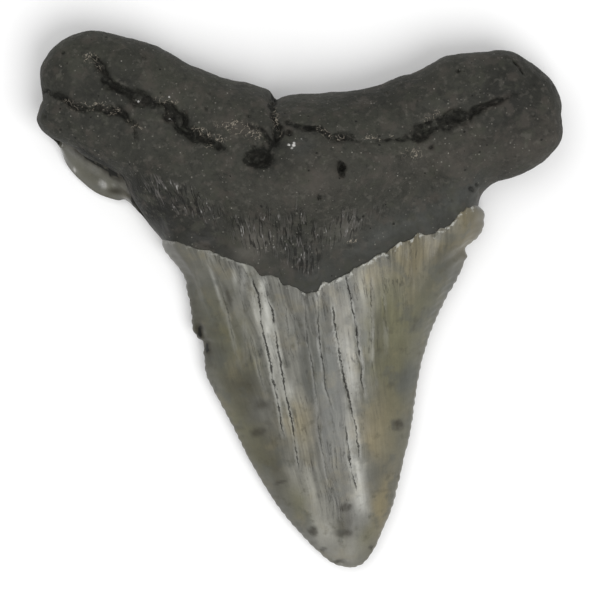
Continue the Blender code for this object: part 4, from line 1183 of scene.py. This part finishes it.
def fan_group():
    """Coordinates along the tooth's fan: across = (x - centre) * exp(-rate * y), with y and z kept."""
    inputs = {"Vector": "vector", "Centre": "value", "Rate": "value"}
    build, given, result = new_group("tooth_fan", inputs, {"Vector": "vector"})
    parts = build.add("ShaderNodeSeparateXYZ", {0: given["Vector"]}).node.outputs
    turned = build.times(parts[1], given["Rate"], -1.0)
    across = build.times(build.minus(parts[0], given["Centre"]), build.math("EXPONENT", turned))
    joined = build.add("ShaderNodeCombineXYZ", {0: across, 1: parts[1], 2: parts[2]})
    return build.finished(result, Vector=joined)


def root_group(groups, colours):
    """Fossil bone: mottled, grained and specked, hollows with painted shade, pale sediment and glossy strokes.
    """
    inputs = {"Vector": "vector", "Tone": "colour", "Hollow": "value", "Sediment": "value",
              "Strokes": "value", "Glint": "value", "Enamel": "value"}
    outputs = {"Color": "colour", "Roughness": "value", "Height": "value"}
    build, given, result = new_group("fossil_root", inputs, outputs, groups, colours)
    where = given["Vector"]
    shifted = build.stretched(where, offset=(7.3, 2.1, 4.4))

    # The bone is calm and smooth beside the enamel, and mottled and specked elsewhere
    calm = build.ramp(given["Enamel"], -2.6, -1.2)
    rough_bone = build.minus(1.0, calm)
    calmed = build.blend(calm, 1.0, 0.35)
    mottle = build.shared("grain", where, 0.42, 0.8)
    grain = build.shared("grain", where, 2.1, calmed)
    colour = build.clouded(
        build.mix(1.0, given["Tone"], build.times(mottle, grain), "MULTIPLY"),
        (where, 0.55, 0.5, 0.66, "root_warm", 0.55),
        (shifted, 0.6, 0.52, 0.66, "root_green", 0.6),
        (shifted, 1.5, 0.54, 0.68, "root_pale", 0.4, rough_bone),
        (where, 1.1, 0.42, 0.3, "root_dark", 0.5, rough_bone))
    # Pores darkened with painted shade, and pale specks that are partly painted glints
    pores = build.shared("specks", where, 1.3, 0.15, 0.16)
    dust = build.shared("specks", shifted, 2.6, 0.2, 0.3)
    dusty = build.times(dust, build.cloud(shifted, 0.35, 0.35, 0.6, 0.2, 1.0))
    bright = build.shared("specks", where, 2.2, 0.14, 0.22)
    bright = build.times(bright, build.cloud(where, 0.4, 0.4, 0.6, 0.25, 1.0), calmed)
    colour = build.tint(build.times(pores, 0.75), colour, "pit")
    colour = build.tint(build.times(dusty, 0.42), colour, "speck")
    colour = build.tint(build.times(bright, 0.8), colour, "speck")

    # Short strokes along the fan: dark ones, partly painted shade in their grooves, light ones beside them,
    # partly painted highlight, and some of those glossy with a painted glint
    fan = build.shared("fan", build.warped(where, 0.6, 0.3), *ROOT_FAN)
    weave = build.minus(build.noise(build.stretched(fan, (3.0, 0.34, 0.4)), 1.0, 1.5), 0.5)
    broken = build.cloud(build.stretched(fan, (2.2, 0.8, 0.5), (3.0, 1.0, 0.0)), 1.0, 0.42, 0.54, detail=2.0)
    stroked = build.ramp(given["Strokes"], 0.15, 0.85)
    dark = build.times(build.ramp(build.math("ABSOLUTE", weave), 0.054, 0.02), broken, stroked)
    light = build.ramp(build.away(weave, 0.085), 0.045, 0.014)
    light = build.times(light, build.ramp(broken, 1.0, 0.4, 0.3, 1.0), stroked)
    gloss = build.cloud(build.stretched(shifted, (2.6, 1.3, 1.0)), 1.0, 0.58, 0.66, detail=2.0)
    colour = build.tint(build.times(dark, 0.72), colour, "pit")
    colour = build.tint(build.times(light, 0.6), colour, "stroke")
    colour = build.tint(build.times(light, gloss, 0.36), colour, "sheen")

    # Hollows darkened with painted shade that deepens with their depth, with ragged rims, sediment as threads
    # and crumbs, and single painted glints
    ragged = build.times(given["Hollow"], build.cloud(where, 1.7, 0.3, 0.66, 0.3, 1.3),
                         build.cloud(shifted, 0.5, 0.3, 0.55, 0.6, 1.0))
    deep = build.ramp(ragged, 0.12, 0.95)
    colour = build.tint(build.times(deep, build.cloud(where, 2.6, 0.3, 0.7, 0.9, 0.55)), colour, "pit")
    threads = build.away(build.noise(build.warped(where, 2.4, 0.3), 1.25, 2.0, 0.6), 0.5)
    threads = build.times(build.ramp(threads, 0.027, 0.008), build.cloud(shifted, 1.3, 0.38, 0.5))
    crumbs = build.times(build.cloud(where, 2.7, 0.6, 0.7), build.cloud(shifted, 1.2, 0.42, 0.55))
    sediment = build.times(build.larger(threads, crumbs), build.ramp(given["Sediment"], 0.08, 0.5))
    thin = build.cloud(where, 3.0, 0.3, 0.6, 0.5, 1.0)
    colour = build.tint(build.times(sediment, thin), colour, "sediment")
    glints = build.shared("specks", shifted, 2.6, 0.42, 0.55)
    glints = build.times(glints, build.ramp(given["Glint"], 0.2, 0.6))
    colour = build.tint(build.times(glints, 0.9), colour, "sheen")

    rough = build.plus(0.68, build.times(build.minus(grain, 1.0), 0.2))
    rough = build.minus(rough, build.times(calm, 0.16))
    rough = build.minus(rough, build.times(stroked, 0.12))
    rough = build.plus(rough, build.times(build.larger(deep, sediment), 0.2), True)
    height = build.plus(build.times(build.shared("grain", where, 1.3, 1.0), 2.6), grain)
    height = build.minus(build.times(height, calmed), build.times(pores, 1.4))
    height = build.plus(height, build.times(build.plus(bright, sediment), 0.7))
    height = build.plus(height, build.times(build.minus(light, dark), 0.9))
    return build.finished(result, Color=colour, Roughness=rough, Height=height)


def enamel_group(groups, colours):
    """Fossil enamel: clouds and streaks, soft stains, painted heel shadow, thin dark cracks and a pale,
    chipped edge.
    """
    inputs = {"Vector": "vector", "Tone": "colour", "Spot": "value", "Crack gap": "value",
              "Crack opening": "value", "Edge gap": "value", "Enamel": "value"}
    outputs = {"Color": "colour", "Roughness": "value", "Height": "value", "Coat": "value"}
    build, given, result = new_group("fossil_enamel", inputs, outputs, groups, colours)
    where, opening = given["Vector"], given["Crack opening"]
    shifted = build.stretched(where, offset=(3.3, 8.1, 2.4))

    # The heel, the crown, its middle, and the part of its middle that is near the root
    place = build.add("ShaderNodeSeparateXYZ", {0: where}).node.outputs
    heel = build.ramp(place[0], -14.4, -15.6)
    crown = build.minus(1.0, heel)
    middle = build.times(build.ramp(given["Edge gap"], 1.6, 5.6), crown)
    near_root = build.ramp(given["Enamel"], 3.8, 0.3)
    near_root = build.times(near_root, build.ramp(given["Edge gap"], 0.6, 3.5), crown)

    # Clouds, and streaks and wrinkles that follow the fan
    mottle = build.shared("grain", where, 0.34, 0.7)
    grain = build.shared("grain", where, 4.5, 0.22)
    fan = build.shared("fan", build.warped(where, 0.22, 1.0), *CROWN_FAN)
    streaks = build.noise(build.stretched(fan, (1.05, 0.07, 0.2)), 1.0, 4.0, 0.62)
    streaked = build.blend(middle, 1.0, build.ramp(streaks, 0.34, 0.66, 0.8, 1.28))
    wrinkles = build.noise(build.stretched(fan, (2.7, 0.2, 0.3), (4.0, 0.0, 0.0)), 1.0, 4.0, 0.62)
    wrinkled = build.blend(near_root, build.ramp(wrinkles, 0.3, 0.7, 0.97, 1.03),
                           build.ramp(wrinkles, 0.36, 0.64, 0.74, 1.32))
    colour = build.clouded(
        given["Tone"],
        (where, 0.3, 0.5, 0.66, "enamel_tan", 0.25),
        (shifted, 0.38, 0.52, 0.66, "enamel_blue", 0.5),
        (shifted, 0.8, 0.55, 0.7, "enamel_dark", 0.4))
    colour = build.mix(1.0, colour, build.times(mottle, grain, streaked, wrinkled), "MULTIPLY")

    # Stains, and the painted shadow of the root's rim on the heel, which turn black where they are strongest
    spot = build.times(given["Spot"], build.cloud(where, 1.8, 0.3, 0.6, 0.75, 1.0))
    colour = build.tint(spot, colour, "stain")
    colour = build.tint(build.ramp(given["Spot"], 0.87, 0.97), colour, "crack")

    # Cracks with pale margins and pin holes beside them, and finer hair cracks
    shaky = build.times(build.minus(build.noise(where, 2.8, 4.0, 0.7), 0.5), 0.34)
    gap = build.math("ABSOLUTE", build.plus(given["Crack gap"], shaky))
    patchy = build.cloud(build.stretched(fan, (1.4, 0.4, 0.4), (9.0, 2.0, 0.0)), 1.0, 0.38, 0.6)
    margin = build.times(build.ramp(gap, 0.42, 0.1), opening, patchy, 0.62)
    colour = build.tint(margin, colour, "enamel_bright")
    beside = build.plus(build.times(build.ramp(gap, 0.8, 0.1), opening, 0.6), 0.06)
    pins = build.times(build.shared("specks", where, 2.6, 0.17, 0.35), beside)
    colour = build.tint(pins, colour, "crack")
    broken = build.cloud(build.stretched(fan, (0.8, 0.55, 0.4)), 1.0, 0.34, 0.54, 0.12, 1.0)
    uneven = build.cloud(where, 3.6, 0.35, 0.65, 0.3, 1.7)
    width = build.times(build.plus(opening, 0.3), broken, uneven, 0.055)
    line = build.ramp(build.minus(gap, width), 0.05, -0.015)
    line = build.times(line, broken, build.ramp(opening, 0.05, 0.6))
    hair = build.ramp(build.away(wrinkles, 0.45), 0.02, 0.004)
    hair = build.times(hair, build.cloud(shifted, 0.5, 0.5, 0.62), middle, 0.5)
    line = build.larger(line, hair)
    colour = build.tint(build.times(line, 0.86), colour, "crack")

    # The pale lip along the root and the worn cutting edges, both stronger on the right
    ragged = build.noise(where, 2.2, 3.0, 0.6)
    right_side = build.ramp(place[0], -4.0, 4.0, 0.4, 1.0)
    lip = build.ramp(build.plus(given["Enamel"], build.times(ragged, -0.9)), 0.1, -0.25)
    lip = build.times(lip, build.cloud(where, 1.5, 0.5, 0.6), right_side, crown)
    colour = build.tint(build.times(lip, 0.85), colour, "enamel_bright")
    worn = build.ramp(build.plus(given["Edge gap"], build.times(ragged, 0.5)), 0.46, 0.26)
    colour = build.tint(build.times(worn, right_side, 0.4), colour, "enamel_pale")

    rough = build.plus(0.4, build.times(build.minus(mottle, 1.0), 0.3))
    rough = build.plus(rough, build.times(build.plus(line, lip), 0.25), True)
    height = build.times(wrinkles, build.blend(near_root, 0.15, 1.6), crown)
    height = build.plus(height, build.times(grain, 0.3))
    height = build.minus(height, build.times(line, 0.9))
    height = build.minus(height, build.times(pins, 0.5))
    coat = build.times(build.blend(heel, 0.27, 0.6), build.ramp(build.larger(line, spot), 0.9, 0.3),
                       build.ramp(given["Edge gap"], 0.1, 1.2, 0.3, 1.0))
    return build.finished(result, Color=colour, Roughness=rough, Height=height, Coat=coat)


def new_material(name):
    """A material with nodes, and its shader's inputs."""
    material = bpy.data.materials.new(name)
    material.use_nodes = True
    return material, material.node_tree.nodes["Principled BSDF"].inputs


def tooth_material(colours):
    """Root and enamel in one material, parted by a crisp line where the enamel mark passes 0."""
    groups = {"specks": specks_group(), "grain": grain_group(), "fan": fan_group()}
    material, shader = new_material("fossil_root_and_enamel")
    build = NodeBuilder(material.node_tree)
    where = build.stretched(build.add("ShaderNodeTexCoord", {}, 3), (1.0 / MM,) * 3)

    def mark(name, output=2):
        """A mark of the mesh as a number, or as a colour at output 0."""
        return build.add("ShaderNodeAttribute", {}, output, attribute_name=name)

    def finish(group, tone, *names):
        """The outputs of one finish, which reads its tone and its other marks by name."""
        numbers = {name: mark(name.lower().replace(" ", "_")) for name in names}
        return build.place(group, {"Vector": where, "Tone": mark(tone, 0), **numbers}).node.outputs

    root = finish(root_group(groups, colours), "root_tone",
                  "Hollow", "Sediment", "Strokes", "Glint", "Enamel")
    enamel = finish(enamel_group(groups, colours), "enamel_tone",
                    "Spot", "Crack gap", "Crack opening", "Edge gap", "Enamel")
    ragged = build.times(build.minus(build.noise(where, 5.0), 0.5), 0.12)
    cover = build.ramp(build.plus(mark("enamel"), ragged), -0.02, 0.02)
    height = build.blend(cover, root["Height"], enamel["Height"])
    bump = build.add("ShaderNodeBump", {"Strength": 0.9, "Distance": 0.06 * MM, "Height": height})
    links = material.node_tree.links
    links.new(build.mix(cover, root["Color"], enamel["Color"]), shader["Base Color"])
    links.new(build.blend(cover, root["Roughness"], enamel["Roughness"]), shader["Roughness"])
    links.new(bump, shader["Normal"])
    links.new(build.times(cover, enamel["Coat"]), shader["Coat Weight"])
    shader["Coat Roughness"].default_value = 0.22
    shader["Specular IOR Level"].default_value = 0.18
    return material


def shade(name, description, default):
    """A colour property in linear red, green and blue."""
    return bpy.props.FloatVectorProperty(
        name=name, description=description, default=default, subtype="COLOR", size=3, min=0.0, max=1.0)


def length(name, description, default, largest):
    """A length property in metres."""
    return bpy.props.FloatProperty(
        name=name, description=description, default=default, min=0.0, max=largest, unit="LENGTH", precision=5)


class ToothSizes(bpy.types.PropertyGroup):
    """Sizes of the tooth, which start at those of the CAD model."""

    width: length("Width", "Width across the root's lobes", CAD_SIZE[0], 0.2)
    length: length("Length", "Length from the tip to the top of the root", CAD_SIZE[1], 0.2)
    thickness: length("Thickness", "Thickness of the root at its swelling", CAD_SIZE[2], 0.1)
    enamel_step: length("Enamel step", "Height of the enamel above the root at its edge", 0.00016, 0.002)
    serration_depth: length("Serration depth", "Depth of the worn serrations", 0.00012, 0.001)
    serration_pitch: length("Serration pitch", "Distance from one serration to the next", 0.00086, 0.005)


class ToothColours(bpy.types.PropertyGroup):
    """Colours of the fossil root and enamel."""

    root: shade("Root", "Fossil bone of the root", (0.032, 0.032, 0.026))
    root_warm: shade("Warm root", "Brownish places of the root", (0.056, 0.049, 0.041))
    root_green: shade("Green root", "Greenish places of the root", (0.039, 0.040, 0.030))
    root_blue: shade("Blue root", "Smooth bluish bone above the enamel", (0.045, 0.047, 0.043))
    # Dark places of the root, partly painted shade on the lobes, along the top and on the lower left flank
    root_dark: shade("Dark root", "Darker places of the root", (0.013, 0.013, 0.011))
    # Painted shade in hollows and pores, partly in the dark strokes, and the painted shadow of the root's rim
    # on the heel
    pit: shade("Pit", "Bottom of pits and grooves", (0.004, 0.004, 0.003))
    # Paler blotches of the root, partly painted sheen just above the enamel
    root_pale: shade("Pale root", "Paler blotches of the root", (0.085, 0.080, 0.068))
    # Pale strokes, partly a painted highlight beside the dark strokes
    stroke: shade("Stroke", "Pale strokes between root and enamel", (0.120, 0.112, 0.106))
    # Pale mineral specks, partly painted glints
    speck: shade("Speck", "Pale mineral specks", (0.24, 0.23, 0.20))
    sheen: shade("Sheen", "Bright glints", (0.55, 0.54, 0.52))
    sediment: shade("Sediment", "Pale sediment in the grooves", (0.270, 0.240, 0.195))
    enamel: shade("Enamel", "Grey of the crown", (0.108, 0.107, 0.094))
    # Pale streaks of the crown, partly a painted highlight along its ridges
    enamel_pale: shade("Pale enamel", "Pale streaks of the crown", (0.225, 0.220, 0.190))
    # Brightest streaks and chipped edges, the streaks partly a painted highlight along the crown's ridges
    enamel_bright: shade("Bright enamel", "Brightest streaks and chipped edges", (0.360, 0.360, 0.330))
    enamel_olive: shade("Olive enamel", "Olive margins of the crown", (0.102, 0.097, 0.050))
    enamel_tan: shade("Tan enamel", "Tan places of the crown", (0.168, 0.143, 0.083))
    enamel_blue: shade("Blue enamel", "Blue-grey places of the crown", (0.068, 0.071, 0.062))
    enamel_dark: shade("Dark enamel", "Dark mottles of the crown", (0.050, 0.046, 0.028))
    stain: shade("Stain", "Dark spots of the crown", (0.030, 0.027, 0.020))
    # Cracks of the enamel, and also the painted shadow of the root's rim on the heel
    crack: shade("Crack", "Cracks of the enamel", (0.008, 0.008, 0.006))
    heel: shade("Heel", "Enamel of the heel", (0.092, 0.089, 0.068))


class StageSettings(bpy.types.PropertyGroup):
    """The floor, the lights and the camera."""

    floor_colour: shade("Floor", "Pale floor", (0.90, 0.90, 0.90))
    floor_radius: length("Floor radius", "Radius of the round floor", 1.5, 10.0)
    view_width: length("View width", "Width of the camera's view at the tooth", 0.06, 1.0)
    lens: bpy.props.FloatProperty(
        name="Lens", description="Focal length of the camera", default=250.0, min=20.0,
        subtype="DISTANCE_CAMERA")
    sky: bpy.props.FloatProperty(
        name="Sky", description="Strength of the even light from all round", default=0.6, min=0.0)


def put(context, name, data):
    """A new object at the origin of the scene."""
    made = bpy.data.objects.new(name, data)
    context.scene.collection.objects.link(made)
    return made


# Edges of the tooth that are steeper than this stay sharp in the shading
SHARP_ANGLE = np.radians(70.0)

# The lights: name, place and size in metres, and power in watts
SOFT_LIGHTS = (
    ("soft_key", (0.18, -0.22, 0.48), 0.40, 1.9),
    ("soft_fill", (-0.20, 0.18, 0.52), 0.48, 0.8),
)
VIEW_HEIGHT = 0.003
SENSOR_WIDTH = 36.0


class TOOTH_OT_surface(bpy.types.Operator):
    """Make the tooth: root, enamel crown and heel in one closed surface, in place of the CAD solid"""

    bl_idname = "fossil_tooth.surface"
    bl_label = "Make the tooth"

    def execute(self, context):
        sizes = context.scene.tooth_sizes
        settings = context.scene.tooth_colours
        colours = {name: tuple(getattr(settings, name)) for name in ToothColours.__annotations__}
        outline = Outline(sizes.serration_depth / MM, sizes.serration_pitch / MM)
        points, side, enamel, triangles = tooth_surface(outline, sizes.enamel_step / MM)
        points = weathered(points, vertex_normals(points, triangles), side, enamel)
        scale = np.array((sizes.width, sizes.length, sizes.thickness)) / (DRAWN_SIZE * MM)
        mesh = bpy.data.meshes.new("tooth_surface")
        mesh.from_pydata(points * scale * MM, [], triangles)
        set_marks(mesh, tooth_marks(outline, points, side, enamel, colours))
        mesh.shade_smooth()
        mesh.set_sharp_from_angle(angle=SHARP_ANGLE)
        mesh.materials.append(tooth_material(colours))
        tooth = put(context, "tooth_surface", mesh)
        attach(tooth, "root")
        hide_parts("tooth")
        return {"FINISHED"}


def disc(radius, rings, spokes):
    """A flat disc on a polar grid, with one point at its middle.

    x = r cos a and y = r sin a, where r = radius * s^2 is closer together towards the middle.
    """
    reach = radius * np.linspace(0.0, 1.0, rings + 1)[1:, None] ** 2
    angle = np.linspace(0.0, 2.0 * np.pi, spokes, endpoint=False)[None, :]
    grid = np.stack((reach * np.cos(angle), reach * np.sin(angle), 0.0 * reach * angle), axis=-1)
    points = np.vstack((np.zeros((1, 3)), grid.reshape(-1, 3)))
    numbers = 1 + np.arange(rings * spokes).reshape(rings, spokes)
    beside = np.roll(numbers, -1, axis=1)
    middle = np.stack((np.zeros(spokes, int), numbers[0], beside[0]), axis=-1)
    corners = (numbers[:-1], numbers[1:], beside[1:], beside[:-1])
    return points, middle.tolist() + np.stack(corners, axis=-1).reshape(-1, 4).tolist()


class TOOTH_OT_stage(bpy.types.Operator):
    """Make the pale floor, the soft lights and the camera that looks straight down"""

    bl_idname = "fossil_tooth.stage"
    bl_label = "Make the stage"

    def execute(self, context):
        settings = context.scene.tooth_stage
        points, faces = disc(settings.floor_radius, 12, 64)
        mesh = bpy.data.meshes.new("floor")
        mesh.from_pydata(points - (0.0, 0.0, 0.02 * MM), [], faces)
        material, shader = new_material("pale_floor")
        shader["Base Color"].default_value = (*settings.floor_colour, 1.0)
        shader["Roughness"].default_value = 0.9
        shader["Specular IOR Level"].default_value = 0.1
        mesh.materials.append(material)
        floor = put(context, "floor", mesh)
        for name, place, size, power in SOFT_LIGHTS:
            light = bpy.data.lights.new(name, "AREA")
            light.shape = "DISK"
            light.size = size
            light.energy = power
            lamp = put(context, name, light)
            lamp.location = place
            lamp.rotation_euler = (-lamp.location).to_track_quat("-Z", "Y").to_euler()
            lamp.visible_camera = False
        world = bpy.data.worlds.new("even_light")
        world.use_nodes = True
        background = world.node_tree.nodes["Background"]
        background.inputs["Color"].default_value = (1.0, 1.0, 1.0, 1.0)
        background.inputs["Strength"].default_value = settings.sky
        context.scene.world = world
        camera_data = bpy.data.cameras.new("camera")
        camera_data.sensor_width = SENSOR_WIDTH
        camera_data.lens = settings.lens
        camera_data.clip_start = 0.01
        camera_data.clip_end = 5.0
        camera = put(context, "camera", camera_data)
        camera.location = (0.0, 0.0, VIEW_HEIGHT + settings.view_width * settings.lens / SENSOR_WIDTH)
        context.scene.camera = camera
        context.scene.view_settings.view_transform = "Standard"
        return {"FINISHED"}


class TOOTH_PT_panel(bpy.types.Panel):
    """Sizes, colours and stage of the tooth, with a button for each step."""

    bl_idname = "TOOTH_PT_panel"
    bl_label = "Fossil tooth"
    bl_space_type = "VIEW_3D"
    bl_region_type = "UI"
    bl_category = "Tooth"

    def draw(self, context):
        for title, group, operator in (
            ("Sizes", "tooth_sizes", None),
            ("Colours", "tooth_colours", TOOTH_OT_surface.bl_idname),
            ("Stage", "tooth_stage", TOOTH_OT_stage.bl_idname),
        ):
            box = self.layout.box()
            box.label(text=title)
            settings = getattr(context.scene, group)
            for name in type(settings).__annotations__:
                box.prop(settings, name)
            if operator:
                box.operator(operator)


CLASSES = (ToothSizes, ToothColours, StageSettings, TOOTH_OT_surface, TOOTH_OT_stage, TOOTH_PT_panel)


def register():
    """Register the classes and hang the settings on the scene."""
    for item in CLASSES:
        bpy.utils.register_class(item)
    bpy.types.Scene.tooth_sizes = bpy.props.PointerProperty(type=ToothSizes)
    bpy.types.Scene.tooth_colours = bpy.props.PointerProperty(type=ToothColours)
    bpy.types.Scene.tooth_stage = bpy.props.PointerProperty(type=StageSettings)


def unregister():
    """Take the settings and the classes away again."""
    del bpy.types.Scene.tooth_stage
    del bpy.types.Scene.tooth_colours
    del bpy.types.Scene.tooth_sizes
    for item in reversed(CLASSES):
        bpy.utils.unregister_class(item)


def main():
    """Make the tooth and the stage."""
    register()
    bpy.ops.fossil_tooth.surface()
    bpy.ops.fossil_tooth.stage()


if __name__ == "__main__":
    main()
